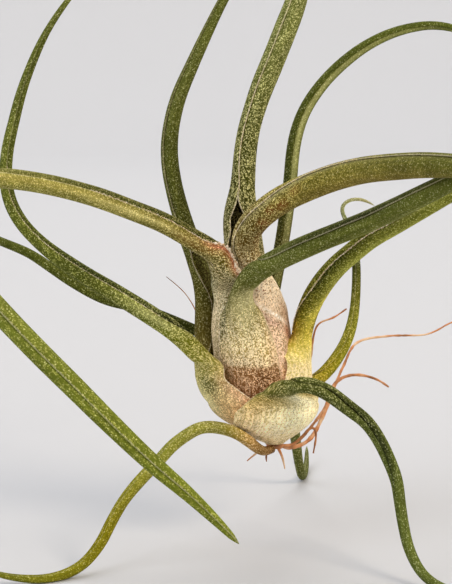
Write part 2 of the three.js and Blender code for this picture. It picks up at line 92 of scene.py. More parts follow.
# The leaves, from the outermost to the heart.
# layer: how many feet of sheaths lie under its own.
# base: turn and half width in degrees where it leaves the stem.
# sheath: height, reach from the axis, turn and half width in degrees, and the radius if it isn't the reach.
# roll: height where it begins to roll up, and mm past the neck where it is rolled.
# hug: height, and how far the two margins lean in. spin: height, and degrees that the section turns.
# swell: a swollen spot's height and turn, its reach in mm and degrees, and its height in mm.
# radii: of the blade, in even steps. seam: mm past the neck, and degrees from the back to a margin.
# ways: mm past the neck, and which way the groove faces there. route: points that the blade runs through.
# tissue, tint, cover, rim: mm past the neck; the skin, the scurf, how thick it lies, its line at a margin.
# washes: see leafColours. lit: mm past the neck, over which light begins to reach the inside.
# strip: a dry leaf without a sheath, with its start and its turn. narrow: drawn with fewer faces.
leaves = {}
leaves["leaf_front_right_low"] = {
    "layer": 0,
    "base": (30, 70),
    "sheath": [
        (8.8, 12.6, 34, 60), (10, 13.3, 35, 53), (11, 13.7, 30.5, 41.5), (12, 14.1, 24, 29),
        (13, 14.8, 20, 20),
    ],
    "roll": (11.6, 4),
    "hug": [(8.8, 0, 0.3), (10, 0.2, 0.8), (11.5, 1.2, 0.8), (13, 1.4, 0.8)],
    "radii": [1.75, 1.6, 1.35, 1.2, 1.0, 0.75, 0.4],
    "ways": [(9, (0.3, -0.8, 0.5)), (26, (-0.3, -0.9, 0.3)), (42, (-0.9, -0.45, 0))],
    "seam": [(0, 187), (9, 187), (12, 175), (60, 173)],
    "route": [
        (5.4, -14.4, 14.9), (8.2, -15.7, 15.7), (11, -16.4, 15.2), (13.8, -17.1, 13.8), (17, -18, 11.5),
        (21, -19, 8.5), (23.5, -20, 5), (25.5, -21, 1), (27, -22, -3), (27.5, -23.5, -7), (28, -25.5, -11),
        (29, -28.5, -15.5), (31.5, -32, -19.6), (36, -36.5, -21.3), (42, -40.5, -20.7), (49, -43.5, -19.4),
        (56, -45, -17.6),
    ],
    "tissue": [
        (-14, "cca474"), (-9, "f0d49c"), (-5, "e8ca90"), (-2.2, "a4864a"), (0, "64602c"), (5, "4e5224"),
        (20, "3e4418"), (30, "484e1e"), (60, "4c5220"),
    ],
    "tint": [
        (-14, "f4deb0"), (-9, "f2e0bc"), (-4, "f0dcaa"), (-1.2, "d0b870"), (4, "a6a464"), (20, "8c9054"),
        (30, "7c8448"), (60, "7c8448"),
    ],
    "cover": [(-14, 0.6), (-8, 0.85), (-4, 0.8), (0, 0.42), (60, 0.36)],
    "rim": [(-14, 0.3), (-2, 0.3), (2, 0), (60, 0)],
    "washes": [
        # The sheath's pale cream here is partly its own colour, partly painted warm light bounced up onto
        # its underside.
        (-5.5, 0.1, 3.6, 0.6, "ffecbc", 0.85),
        (-1, 0.32, 3, 0.34, "fff0c8", 0.9),
        (-1, 0.32, 2.6, 0.3, "e0cc98", 0.8, -0.35),
        (-2.5, -0.65, 2.2, 0.25, "6e5c22", 0.4, 0.15),
        (-10, -0.9, 4, 0.25, "7c5230", 0.6, 0.2),
        # These three: painted shade in the open groove along the seam of the blade.
        (15, 0.97, 8, 0.05, "0c1002", 0.6),
        (26, 0.84, 8, 0.12, "1c2408", 0.9),
        (30, 0.98, 15, 0.06, "080c02", 0.95),
        (9, -0.7, 4, 0.2, "444618", 0.4),
        (-4.5, -0.75, 3, 0.2, "cca468", 0.6),
    ],
}
leaves["leaf_back_low"] = {
    "layer": 0,
    "base": (192, 42),
    "sheath": [(8.8, 12.8, 190, 40), (10.5, 13.3, 184, 28), (12, 14.2, 180, 20), (13.5, 15.2, 177, 18)],
    "roll": (10.5, 2),
    "hug": [(8.8, 0.3, 0.3), (13.5, 0.5, 0.5)],
    "radii": [1.7, 1.7, 1.6, 1.4, 1.2, 1.0, 0.75, 0.4],
    "ways": [(14, (0, 0.3, 1))],
    "narrow": True,
    "route": [
        (0.5, 17, 15.5), (2.5, 21.5, 15.5), (4.5, 26.5, 12), (6.5, 31, 6), (8, 35, -1), (9, 38.5, -8),
        (10, 42, -15), (11, 46.5, -19.9), (12, 53, -21.4), (13, 61, -20.4), (13.5, 69, -18),
    ],
    "tissue": [(-14, "94744a"), (-6, "9c8350"), (0, "56521e"), (12, "3a400f"), (60, "3c4010")],
    "tint": [(-14, "d8bd90"), (-4, "dcc898"), (4, "9a9860"), (60, "84864e")],
    "cover": [(-14, 0.6), (0, 0.45), (60, 0.4)],
    "rim": [(0, 0.15)],
}
leaves["leaf_front_left_low"] = {
    "slot": "leaf_dry",
    "strip": True,
    "radii": [0.9, 1.15, 1.3, 1.3, 1.3, 1.3, 1.3, 1.2, 1.2, 1.15, 1.05, 0.9, 0.7, 0.4],
    "ways": [(14, (0, -0.6, 0.8))],
    "narrow": True,
    "start": (2.1, -2.8, -1.1),
    "turn": -20,
    "route": [
        (0.5, -5, -1.1), (-1.2, -7.3, 0.2), (-3.2, -9.1, 2.3), (-5.5, -10, 4.1), (-8, -10.9, 5.2),
        (-11, -11.8, 5.9), (-13.5, -12.5, 5.8), (-16, -13.2, 4.5), (-19, -14, 2.4), (-22, -15, -0.8),
        (-26, -16.5, -4.8), (-29, -17.8, -8.3), (-31.3, -19.5, -12), (-33.8, -22, -16.5),
        (-37.5, -25, -20.1), (-43, -28.5, -21.4), (-50, -31, -20.5), (-57, -32, -18.4),
    ],
    "tissue": [
        (0, "6a4624"), (9, "a07846"), (13, "a0883e"), (17, "807a30"), (30, "7c7c2a"), (50, "6e6608"),
        (80, "4c5010"),
    ],
    "tint": [(0, "b48a5c"), (10, "dcbb84"), (16, "bcb270"), (30, "aaa654"), (50, "a0941e"), (80, "8c8c30")],
    "cover": [(0, 0.45), (16, 0.5), (80, 0.45)],
    "rim": [(0, 0.1)],
}
leaves["leaf_left_outer"] = {
    "layer": 1,
    "base": (-68, 65),
    "sheath": [
        (8.9, 11.5, -68, 65), (10.5, 12.5, -68, 59), (12.5, 13.1, -68, 47), (14.5, 13.4, -67, 35),
        (16, 13.8, -63, 25), (17.6, 14.5, -58, 21), (19, 15.3, -53, 19),
    ],
    "roll": (14.6, 3),
    "hug": [
        (8.9, 0.2, 0.6), (10.5, 0.6, 1.6), (12.5, 0.8, 2.1), (14.5, 0.8, 1.9), (16.5, 0.8, 1.4),
        (19, 0.8, 1.2),
    ],
    "radii": [2.0, 2.05, 2.0, 1.75, 1.45, 1.35, 1.2, 0.95, 0.65, 0.35],
    "ways": [(14, (0.2, -0.88, 0.42))],
    "route": [
        (-15.5, -9, 22.7), (-19, -9.4, 26), (-23.4, -9.6, 29.1), (-27.5, -10, 31.8), (-31.3, -10, 34.2),
        (-36, -10, 37), (-40.2, -9.8, 39.7), (-44.3, -9.5, 42.6), (-47.8, -9, 45.6), (-50.5, -8.6, 48.7),
        (-52.4, -8.2, 52), (-53.4, -7.6, 55.3), (-53.7, -7, 59), (-53.3, -6, 63.8), (-52, -5, 69.6),
        (-50.5, -4, 75.4), (-48.5, -3, 81), (-45.5, -2, 87.5), (-41.5, 0, 93.8), (-36.5, 3, 100),
    ],
    "tissue": [
        (-20, "94744a"), (-12, "927a44"), (-8, "6a6430"), (-2, "a09648"), (5, "6e6e1a"), (14, "60641a"),
        (32, "343a08"), (90, "343a0a"),
    ],
    "tint": [
        (-20, "dcc294"), (-12, "ecd69c"), (-7, "e0d490"), (-2, "ecdc98"), (5, "ccc270"), (14, "c4c47a"),
        (32, "a2a450"), (50, "9ca04c"), (90, "888c48"),
    ],
    "cover": [(-20, 0.65), (-10, 0.52), (0, 0.52), (20, 0.42), (90, 0.38)],
    "rim": [(-20, 0.6), (-3, 0.5), (4, 0.1), (30, 0.2), (90, 0.05)],
    "washes": [
        (-7.5, 0.88, 5, 0.26, "ecb092", 0.95),
        (-9, 0.56, 3.4, 0.26, "f0c8a8", 0.8, -0.05),
        (-8, -0.1, 4, 0.3, "d8c898", 0.5),
        (-10, 0.55, 3, 0.3, "d4a878", 0.8),
        (-14, 0.4, 3, 0.5, "c8a27a", 0.75),
        (-4.8, 0.38, 2.3, 0.27, "424818", 0.85, 0.14),
        (-9.2, 0.1, 2.4, 0.2, "ece0b8", 0.75, -0.15),
        # These two: painted shade beside the seam, where one margin laps over the other.
        (25, -0.85, 45, 0.2, "1e2604", 0.95),
        (6, -0.8, 7, 0.25, "14180a", 1, 0.1),
        (15, 0.84, 6, 0.12, "d4d09c", 0.5, -0.1),
        (-1, 0.2, 3, 0.8, "585620", 0.15),
        # Painted shade beside the seam, further out.
        (54, -0.85, 6, 0.3, "30340e", 0.35),
    ],
}
leaves["leaf_curled"] = {
    "layer": 1,
    "base": (128, 42),
    "sheath": [(8.6, 11.4, 128, 37), (9.4, 12.6, 126, 22), (10.6, 14.8, 126, 18)],
    "roll": (8.8, 2),
    "hug": [(8.6, 0.3, 0.3), (10.6, 0.5, 0.5)],
    "radii": [1.6, 1.55, 1.4, 1.2, 1.05, 0.9, 0.6, 0.42, 0.35],
    "ways": [(14, (-0.3, -0.9, 0.1))],
    "narrow": True,
    "route": [
        (13.6, 11.3, 12.2), (16.5, 14, 14.8), (19, 17, 18), (20.6, 19, 21.4), (21.6, 21, 25.5),
        (22, 22, 30), (22.1, 23, 35.5), (21.7, 24, 40.3), (20.7, 25, 44), (19.3, 26, 46.8),
        (18.7, 26.6, 48.4), (19.4, 27.1, 49.7), (21, 27.6, 50.5), (22.8, 28.1, 50.6), (24.7, 28.5, 50.1),
        (26.6, 29, 49),
    ],
    "tissue": [
        (-10, "94744a"), (0, "80701a"), (10, "827c1a"), (20, "70701e"), (34, "34360c"), (45, "6c7448"),
        (60, "a89c70"),
    ],
    "tint": [
        (-10, "d0b480"), (4, "c6ae38"), (12, "aea23c"), (20, "b8b04c"), (34, "6a6c30"), (46, "b0b48c"),
        (60, "d0c4a0"),
    ],
    "cover": [(-10, 0.5), (10, 0.45), (60, 0.4)],
    "rim": [(0, 0.1)],
}
leaves["leaf_right_outer"] = {
    "slot": "leaf_gold",
    "layer": 2,
    "base": (80, 66),
    "sheath": [
        (9.4, 10.4, 80, 66), (11.5, 11.2, 80, 58), (14, 12, 82, 46), (17, 12.2, 83, 38), (19, 12.4, 80, 33),
        (21, 12.8, 77, 27), (23.5, 13.3, 73, 20),
    ],
    "roll": (18.5, 1),
    "hug": [(9.4, 0.2, 0.2), (13, 0.8, 0.6), (15.5, 1.8, 1), (23.5, 2.2, 1)],
    "radii": [2.2, 2.35, 2.2, 2.0, 1.7, 1.3, 0.9, 0.4],
    "ways": [(14, (-0.45, -0.75, 0.45))],
    "route": [
        (8.9, -3.4, 27), (10.4, -4, 31.4), (12.6, -5.4, 35.5), (15.4, -7.8, 39.4), (18.5, -10.4, 42.6),
        (22, -13, 45.8), (26.5, -16, 48.8), (31, -19, 51.8), (37, -22, 55.6), (44, -25, 59.4),
        (51.5, -27, 62.5), (59, -28, 64.2), (65.5, -28, 64.5),
    ],
    "tissue": [
        (-24, "b48e60"), (-10, "e8ce9e"), (-6, "e4cc88"), (-1, "d8c250"), (2.2, "806c12"), (5, "5c560c"),
        (14, "4a4a0c"), (70, "484c0e"),
    ],
    "tint": [
        (-24, "e6caa2"), (-10, "f0dcb8"), (-6, "eedaa8"), (-1, "e4d06c"), (2.2, "b8a032"), (6, "a4962e"),
        (14, "a2a040"), (30, "a0a044"), (70, "8a8c3c"),
    ],
    "cover": [(-24, 0.8), (-6, 0.8), (-2, 0.65), (3, 0.5), (70, 0.42)],
    "rim": [(-24, 0.2), (-4, 0.2), (2, 0.4), (70, 0.3)],
    "washes": [
        (9, -0.3, 9, 0.16, "e0cc58", 0.85),
        (42, -0.98, 11, 0.16, "b4b070", 0.6),
        (28, -0.4, 20, 0.24, "b8b85c", 0.8),
        # Painted shade along the blade's left side, beside the seam and turned from the light.
        (17, -0.88, 15, 0.17, "2c3208", 0.9),
        (0.5, -0.85, 2, 0.3, "c4983c", 0.6),
    ],
}
leaves["leaf_left_back"] = {
    "layer": 2,
    "base": (-148, 58),
    "sheath": [
        (9.4, 10.4, -148, 56), (11.5, 11, -150, 46), (13.5, 11.6, -153, 34), (15, 12.4, -155, 25),
        (16.8, 13.6, -155, 18), (18.6, 14.7, -152, 16),
    ],
    "roll": (14.5, 2),
    "hug": [(9.4, 0.2, 0.2), (14, 0.8, 0.8)],
    "radii": [1.3, 1.25, 1.2, 1.15, 1.0, 0.9, 0.7, 0.35],
    "ways": [(14, (0, -0.5, 0.85))],
    "narrow": True,
    "route": [
        (-10.8, 12.9, 20.8), (-14.8, 13.6, 22.2), (-20, 14.7, 24.3), (-27.5, 17.3, 26.7),
        (-35.5, 19.4, 28.4), (-43, 20.6, 32.2), (-48, 21.5, 35.5), (-53, 23.2, 38.5), (-61, 27, 41.3),
        (-70, 31, 45), (-80, 35, 50.5), (-88.5, 37, 59), (-94.5, 38, 68.5),
    ],
    "tissue": [
        (-18, "94744a"), (-6, "6a5c2a"), (0, "343208"), (14, "2e3006"), (30, "363a0a"), (100, "32380a"),
    ],
    "tint": [(-18, "dcc294"), (-4, "8a7e44"), (6, "5e5e26"), (30, "767a34"), (100, "6c7030")],
    "cover": [(-18, 0.6), (0, 0.4), (100, 0.4)],
}
leaves["leaf_up_left"] = {
    "layer": 3,
    "base": (-106, 50),
    "sheath": [
        (10.4, 9.3, -107, 50), (13, 10, -109, 44), (15.8, 11.2, -112, 29), (17.8, 12.6, -117, 23),
        (19.5, 13.8, -120, 20), (21, 14.4, -121, 18),
    ],
    "roll": (15.5, 2),
    "hug": [(10.4, 0.1, 0.1), (14, 0.6, 0.6)],
    "radii": [2.15, 2.1, 2.1, 2.0, 1.9, 1.7, 1.4, 1.1, 0.8, 0.4],
    "ways": [(6, (0.8, -0.5, 0)), (18, (0.3, -1, 0)), (32, (-0.8, -0.6, 0))],
    "seam": [(0, 178), (7, 165), (12, 140), (18, 135), (27, 187)],
    "route": [
        (-12.6, 8, 25.5), (-12.6, 10, 30.5), (-13.2, 11.5, 35), (-14.6, 13, 39.5), (-16.4, 14, 44),
        (-18.5, 15, 50.5), (-20, 16, 57), (-20.5, 17, 62.5), (-20, 18, 68), (-18.5, 19, 74),
        (-15.5, 20, 81), (-12, 21, 88.5), (-8.5, 22, 95.5), (-4.5, 24, 102.5), (0.5, 27, 108), (6, 30, 112),
    ],
    "tissue": [
        (-20, "94744a"), (-8, "6e6032"), (0, "5c4e22"), (12, "423e12"), (36, "343608"), (100, "3c420c"),
    ],
    "tint": [
        (-20, "d8c090"), (-4, "988c54"), (4, "7c7240"), (20, "7c7a3e"), (45, "74763a"), (58, "8c8e4c"),
        (100, "888c44"),
    ],
    "cover": [(-20, 0.6), (0, 0.4), (20, 0.45), (100, 0.4)],
    "rim": [(-20, 0.3), (0, 0.5), (20, 0.25), (60, 0.1)],
}
leaves["leaf_right_front"] = {
    "slot": "leaf_gold",
    "layer": 3,
    "base": (-9, 43),
    "sheath": [
        (10.4, 9.3, -9, 43), (13, 9.9, -9, 42), (17, 10, -10, 40), (22, 9.9, -10, 38), (25, 10.1, -10, 33),
        (27.5, 10.9, -11, 28), (30, 12, -11, 23), (32.5, 13.1, -9, 19), (34.8, 13.9, -5, 18),
    ],
    "roll": (26, 1),
    "hug": [(10.4, 0.1, 0.1), (13, 0.7, 0.4), (17, 1, 0.5), (24, 1, 0.9), (34.8, 1, 1)],
    "radii": [2.35, 2.3, 2.2, 2.1, 2.0, 1.8, 1.4, 0.9, 0.4],
    "ways": [(14, (-0.2, -0.8, 0.5))],
    "route": [
        (-2.3, -13, 38.2), (0.5, -15.3, 40.4), (4.5, -19, 43), (9.5, -24, 45.9), (14.5, -29, 48.6),
        (19, -35, 51.2), (23, -41, 53.9), (28, -50, 57.6), (32, -57, 60.6), (37, -66, 64.3),
        (42, -74, 68.4), (46.5, -80, 73), (49, -84, 78),
    ],
    "tissue": [
        (-31, "8a6844"), (-22, "88583a"), (-17, "885c3a"), (-16.3, "94744a"), (-13.5, "b0945e"),
        (-9, "a89058"), (-5, "8c7e48"), (-1, "5c5826"), (4, "5e602a"), (14, "60642c"), (25, "4a4e1a"),
        (50, "525620"), (90, "42460f"),
    ],
    "tint": [
        (-31, "d8b48c"), (-22, "e0b890"), (-17, "e4be92"), (-16.3, "f0dab0"), (-9, "f4e4b6"),
        (-5, "d8ca96"), (-1, "aca468"), (4, "9c9e60"), (14, "8c8e50"), (25, "7c7e40"), (90, "7c8040"),
    ],
    "cover": [(-31, 0.55), (-17, 0.52), (-16.3, 0.72), (-10, 0.7), (-4, 0.55), (0, 0.42), (90, 0.4)],
    "rim": [(-31, 0.3), (-2, 0.5), (2, 0.25), (90, 0.2)],
    "washes": [
        (-6, -0.72, 8, 0.26, "40400e", 0.95, 0.17, 0.05),
        (-1.5, 0.45, 2.6, 0.36, "ecdcae", 0.8),
        (5.2, -0.4, 3, 0.25, "34360e", 0.6),
        (-19.5, 0.55, 3, 0.4, "5c3014", 0.7, 0.1),
        (-19, -0.85, 3, 0.25, "c49c74", 0.8),
        # These two: painted shade along both sides of the seam.
        (38, -1, 22, 0.12, "1c2004", 0.8),
        (38, 0.95, 24, 0.16, "16180a", 0.9),
        (38, -0.3, 24, 0.14, "94964e", 0.6),
        (-14, 0.9, 8, 0.16, "c89a7c", 0.5),
        (-5, 0.1, 4, 0.42, "e4d4a0", 0.6),
    ],
}
leaves["leaf_right_near"] = {
    "slot": "leaf_gold",
    "layer": 4,
    "base": (52, 70),
    "sheath": [
        (11.4, 8.2, 52, 70), (14, 8.5, 52, 70), (18, 8.5, 52, 70), (24, 8.5, 52, 69), (28, 8.3, 51, 64),
        (31, 8.3, 45, 58), (34, 8.8, 34, 52), (37, 9.2, 22, 50), (40, 9.2, 12, 50), (42.5, 9.3, 4, 50),
    ],
    "roll": (28, -1),
    "swell": (15, 43, 9, 16, 1.55),
    "radii": [2.92, 2.82, 2.7, 2.55, 2.4, 2.1, 1.7, 1.2, 0.5],
    "spin": [(31, 0), (34, 20), (37, 60), (40, 92), (42.5, 108), (99, 108)],
    "ways": [(12, (-0.6, -0.65, 0.45)), (30, (-0.3, -0.35, 0.9))],
    "route": [
        (-3.5, -8.5, 46.4), (-1.8, -10.8, 49.2), (0.7, -13.9, 51.8), (3.7, -17.3, 54.2), (8, -22, 56.7),
        (12.5, -28, 59), (17.5, -36, 61), (22, -45, 62.2), (26.5, -54, 63.1), (31, -63, 63.5),
        (36, -73, 63.4), (40.5, -82, 62.6), (45.5, -90, 60.8), (49.5, -96, 58), (52, -100, 54),
    ],
    "tissue": [
        (-34, "b88c6c"), (-22, "b88c6c"), (-12, "b88e74"), (-7, "b08c70"), (-4, "94744e"), (0, "745828"),
        (10, "5e4a16"), (30, "544e16"), (60, "464812"), (100, "3c4210"),
    ],
    "tint": [
        (-34, "e0bc9a"), (-22, "dcbc9e"), (-12, "e2cbad"), (-7, "ecdabc"), (-4, "f0e0b8"), (0, "f0e0a4"),
        (10, "ecdc90"), (20, "d8c870"), (30, "bcac50"), (60, "908640"), (100, "6c7236"),
    ],
    "cover": [
        (-34, 0.7), (-20, 0.85), (-10, 0.9), (-6, 0.85), (-3, 0.58), (0, 0.5), (12, 0.42), (30, 0.48),
        (100, 0.35),
    ],
    "rim": [(-34, 0.2), (-6, 0.3), (0, 0.6), (60, 0.35)],
    "washes": [
        (-8.6, -0.42, 2, 0.08, "8c3048", 0.6, 0.06),
        # These two: painted shade below a fold across the sheath; the next two draw a pale line along the
        # fold.
        (-14.8, -0.34, 3, 0.14, "a88078", 0.8, 0, -0.16),
        (-14.6, -0.28, 2.6, 0.08, "6c4640", 0.7, 0.25, -0.16),
        (-14, -0.1, 3, 0.05, "fff4e4", 1, 0, -0.16),
        (-14, -0.1, 3, 0.05, "f0dcc4", 1, -0.6, -0.16),
        (-13.4, 0.2, 1.8, 0.12, "8c5c38", 0.7),
        (-16, 0.36, 4, 0.1, "6c3c20", 0.9),
        (-20, -0.3, 4, 0.25, "d8bca4", 0.6),
        (-17.6, 0.16, 1.9, 0.11, "94502c", 0.9),
        (8, -0.36, 7, 0.16, "7c3418", 0.6, 0.04),
        (12, -0.52, 1.5, 0.12, "94401f", 0.85, 0.03),
        (16, -0.64, 1.3, 0.1, "84341a", 0.85, 0.03),
        (19.5, -0.55, 2, 0.12, "94401f", 0.8, 0.03),
        (24.5, -0.66, 1.8, 0.1, "84381c", 0.7, 0.03),
        # Painted light along the blade's upper edge, where its fuzz of scales catches the light from above.
        (23, -0.96, 16, 0.11, "b4aa88", 0.75),
        (7.4, -0.86, 3, 0.15, "544c1c", 0.5),
        (-18, -0.2, 4, 0.25, "a88468", 0.7, 0.12),
        # Painted light along the upper edge, further out.
        (44, -1, 34, 0.12, "a49c74", 0.7),
        (44, -0.2, 34, 0.3, "9c8048", 0.5),
    ],
}
leaves["leaf_left_near"] = {
    "slot": "leaf_gold",
    "layer": 4,
    "base": (-85, 60),
    "sheath": [
        (11.4, 8.2, -85, 60), (14, 8.6, -85, 60), (18, 8.7, -85, 60), (24, 8.6, -84, 58), (28, 8, -79, 50),
        (31, 7.3, -72, 47), (34, 7.9, -54, 50, 6), (36, 10, -30, 64, 4.6), (37.5, 11.2, -27, 80, 4),
        (39.5, 12, -30, 105, 3.1),
    ],
    "roll": (38, 6),
    "radii": [2.35, 2.1, 2.0, 1.9, 1.85, 1.85, 1.8, 1.75, 1.6, 1.2, 0.4],
    "spin": [(36, 0), (39.5, -16), (99, -16)],
    "ways": [(10, (0.1, -0.9, 0.35))],
    "route": [
        (-9.9, -9.5, 42.1), (-14.2, -13, 45.3), (-20, -18, 49.2), (-27, -24.5, 52.8), (-34, -31, 56),
        (-42, -39.5, 58.8), (-49, -48, 60.4), (-53.8, -58, 60.4), (-56, -70, 58.6), (-54.5, -82, 55),
        (-50, -91, 50.6), (-43.5, -98, 45.3), (-36, -103, 38.7), (-30, -105, 33.2), (-24.5, -105, 27.5),
        (-19, -104, 21.8), (-13.5, -101, 16), (-9.2, -97, 10.6), (-5.8, -92, 5.5),
    ],
    "tissue": [
        (-32, "9a7a5a"), (-20, "a08660"), (-12, "9c8a62"), (-5, "645c30"), (0, "5e5014"), (14, "565014"),
        (50, "5e5c1c"), (110, "4a5214"), (190, "5a6818"),
    ],
    "tint": [
        (-32, "dcbc98"), (-20, "ecd8b2"), (-10, "f0e6c0"), (-4, "ecdfb0"), (2, "ecdc98"), (14, "cabc6c"),
        (40, "c0b668"), (60, "c4ba6c"), (120, "9c9c4c"), (190, "a8aa40"),
    ],
    "cover": [(-32, 0.65), (-8, 0.62), (0, 0.48), (16, 0.44), (60, 0.5), (190, 0.4)],
    "rim": [(-32, 0.3), (-6, 0.7), (0, 0.6), (4, 0.2), (190, 0.25)],
    "washes": [
        (3, 0.86, 6, 0.09, "d8586a", 0.9, 0, 0.012),
        (1.5, 0.75, 5, 0.16, "bc7044", 0.7, 0.03),
        # Painted shade in the groove beside the seam.
        (24, 0.96, 16, 0.1, "44460f", 0.8),
        (26, 0.78, 13, 0.045, "ecdca4", 0.9),
        (12, 0.75, 6, 0.16, "984628", 0.4, 0.05),
        # Painted shade beside the seam on the other side, where one margin laps over the other.
        (28, -0.8, 45, 0.22, "26300a", 0.95),
        (30, 0.7, 12, 0.12, "d8c884", 0.4),
        (50, 0.86, 45, 0.12, "d0bc70", 0.4),
        (-12, 0.15, 8, 0.4, "c8a886", 0.5),
    ],
}
leaves["leaf_up_right"] = {
    "layer": 5,
    "base": (150, 60),
    "sheath": [
        (12.4, 7.3, 152, 58), (17, 7.4, 155, 46), (19.5, 7.5, 157, 33), (21.2, 8.5, 157, 26),
        (23.5, 10, 156, 21), (26, 11, 153, 19), (28.5, 11.6, 151, 18), (30.5, 12, 149, 18),
    ],
    "roll": (19, -4),
    "radii": [1.6, 1.6, 1.55, 1.5, 1.4, 1.2, 0.9, 0.4],
    "ways": [(14, (-0.2, -0.95, 0))],
    "narrow": True,
    "route": [
        (3.2, 10.5, 35), (4.4, 12.3, 41), (5.5, 14, 47.8), (6.5, 16, 55.5), (7.1, 18, 61.5),
        (8.2, 20, 66.7), (10, 22, 71.2), (13.2, 24, 76), (18, 26, 81), (24.5, 28, 85.8), (32, 30, 89.1),
        (40.5, 32, 90.3), (48.5, 33, 88.4), (56, 34, 83.5),
    ],
    "tissue": [
        (-24, "94744a"), (-6, "5c5226"), (0, "444212"), (12, "403a12"), (24, "3a3e0e"), (100, "3e4612"),
    ],
    "tint": [
        (-24, "dcc294"), (-4, "948c54"), (6, "7c7e40"), (14, "7c743e"), (26, "80843a"), (100, "7c843c"),
    ],
    "cover": [(-24, 0.6), (0, 0.42), (100, 0.38)],
    "washes": [
        # Painted light along one side of the blade, and painted shade beside the seam on the other.
        (40, -0.8, 40, 0.2, "c4c08c", 0.6),
        (40, 0.85, 40, 0.18, "2c3006", 0.8),
    ],
}
leaves["leaf_centre"] = {
    "layer": 6,
    "base": (150, 115),
    "sheath": [
        (13.4, 6.2, 150, 115), (20, 6.2, 150, 115), (26, 6.2, 152, 112), (30, 6.3, 156, 112, 5.6),
        (34, 6.5, 162, 115, 4.9), (38, 6.5, 168, 118, 4.5), (42, 6.3, 172, 126, 4.25),
        (46, 5.8, 172, 149, 4.05), (49, 5.1, 169, 152, 3.75),
    ],
    "roll": (48, 7),
    "radii": [3.1, 2.5, 2.35, 2.5, 2.5, 2.1, 1.5, 0.5],
    "ways": [(14, (-0.6, -0.8, 0))],
    "route": [
        (-4.4, 1.1, 53.5), (-4.1, 1.5, 57.6), (-3.7, 1.9, 62.6), (-2.9, 2.2, 67.6), (-1.5, 2.6, 72.5),
        (0.1, 3.2, 77), (1.8, 4, 81), (4.6, 5, 88), (7.4, 6, 95.5), (8.9, 7, 103.5), (8.6, 8, 111.5),
        (6.4, 9, 119.5),
    ],
    "lit": (2, 8),
    "tissue": [(-36, "94744a"), (-10, "5e5428"), (0, "3e3c10"), (20, "383c0a"), (80, "404812")],
    "tint": [(-36, "dcc294"), (-6, "ccc08c"), (6, "c2bc7c"), (30, "bebc78"), (80, "b0b470")],
    "cover": [(-36, 0.6), (0, 0.46), (80, 0.46)],
    "rim": [(-36, 0.4), (-8, 0.5), (80, 0.4)],
}


def toLinear(hexText):
    parts = [int(hexText[i:i + 2], 16) / 255 for i in (0, 2, 4)]
    return [c / 12.92 if c <= 0.04045 else ((c + 0.055) / 1.055) ** 2.4 for c in parts]


def smooth(low, high, x):
    t = np.clip((x - low) / (high - low), 0, 1)
    return t * t * (3 - 2 * t)


def mix(a, b, t):
    return a + (b - a) * t


def unit(v):
    return v / np.linalg.norm(v, axis=-1, keepdims=True)


# A turn of 0 degrees faces the front and 90 the right.
def outward(turn):
    angle = np.radians(turn)
    return np.stack([np.sin(angle), -np.cos(angle), np.zeros_like(angle)], -1)


def axisAt(height):
    height = np.asarray(height, float)
    x = bulb["lean"] * height + bulb["bend"] * np.exp(-height / bulb["bendHeight"])
    return np.stack([x, np.zeros_like(height), height], -1)


# A curve from one value to another, with the slope given at each.
def bridge(first, firstSlope, last, lastSlope, t):
    return (first * (1 + 2 * t) * (1 - t) ** 2 + firstSlope * t * (1 - t) ** 2
            + last * t * t * (3 - 2 * t) + lastSlope * t * t * (t - 1))


# Reads a rising table at x along a smooth curve that never overshoots its rows.
def readCurve(xs, ys, x):
    xs = np.asarray(xs, float)
    ys = np.asarray(ys, float)
    gaps = np.diff(xs)
    slopes = np.diff(ys) / gaps
    ends = np.empty_like(ys)
    ends[0], ends[-1] = slopes[0], slopes[-1]
    for i in range(1, len(xs) - 1):
        a, b = slopes[i - 1], slopes[i]
        ends[i] = 0 if a * b <= 0 else 2 * a * b / (a + b)
    x = np.clip(x, xs[0], xs[-1])
    i = np.clip(np.searchsorted(xs, x) - 1, 0, len(gaps) - 1)
    return bridge(ys[i], ends[i] * gaps[i], ys[i + 1], ends[i + 1] * gaps[i], (x - xs[i]) / gaps[i])


def readRows(rows, column, height):
    return readCurve([row[0] for row in rows], [row[column] for row in rows], height)


def readEven(values, fraction):
    return readCurve(np.arange(len(values)) / (len(values) - 1), values, fraction)


def readStops(stops, x):
    return np.interp(x, [stop[0] for stop in stops], [stop[1] for stop in stops])


routeShape = {
    "step": 0.25,  # mm between points
    "ease": 12,  # points to either side, over which a bend is eased
    "fine": 40,  # how finely the curve is measured
}


# A centripetal Catmull-Rom curve through the points, with its bends eased.
def softPath(points):
    p = np.asarray(points, float)
    p = np.vstack([2 * p[0] - p[1], p, 2 * p[-1] - p[-2]])
    t = np.linspace(0, 1, routeShape["fine"], endpoint=False)[:, None]
    parts = []
    for i in range(1, len(p) - 2):
        before, here, after = np.diff(p[i - 1:i + 3], axis=0)
        a, b, c = [max(np.linalg.norm(gap) ** 0.5, 1e-6) for gap in (before, here, after)]
        start = (before / a - (before + here) / (a + b) + here / b) * b
        end = (here / b - (here + after) / (b + c) + after / c) * b
        parts.append(bridge(p[i], start, p[i + 1], end, t))
    path = np.vstack(parts + [p[-2:-1]])
    reach = np.concatenate([[0], np.cumsum(np.linalg.norm(np.diff(path, axis=0), axis=1))])
    even = np.linspace(0, reach[-1], int(reach[-1] / routeShape["step"]) + 1)
    path = np.stack([np.interp(even, reach, path[:, k]) for k in range(3)], 1)
    pad = routeShape["ease"]
    longer = np.vstack([2 * path[0] - path[pad:0:-1], path, 2 * path[-1] - path[-2:-pad - 2:-1]])
    weights = np.exp(-np.linspace(-2, 2, 2 * pad + 1) ** 2)
    weights /= weights.sum()
    path = np.stack([np.convolve(longer[:, k], weights, "valid") for k in range(3)], 1)
    return path, even


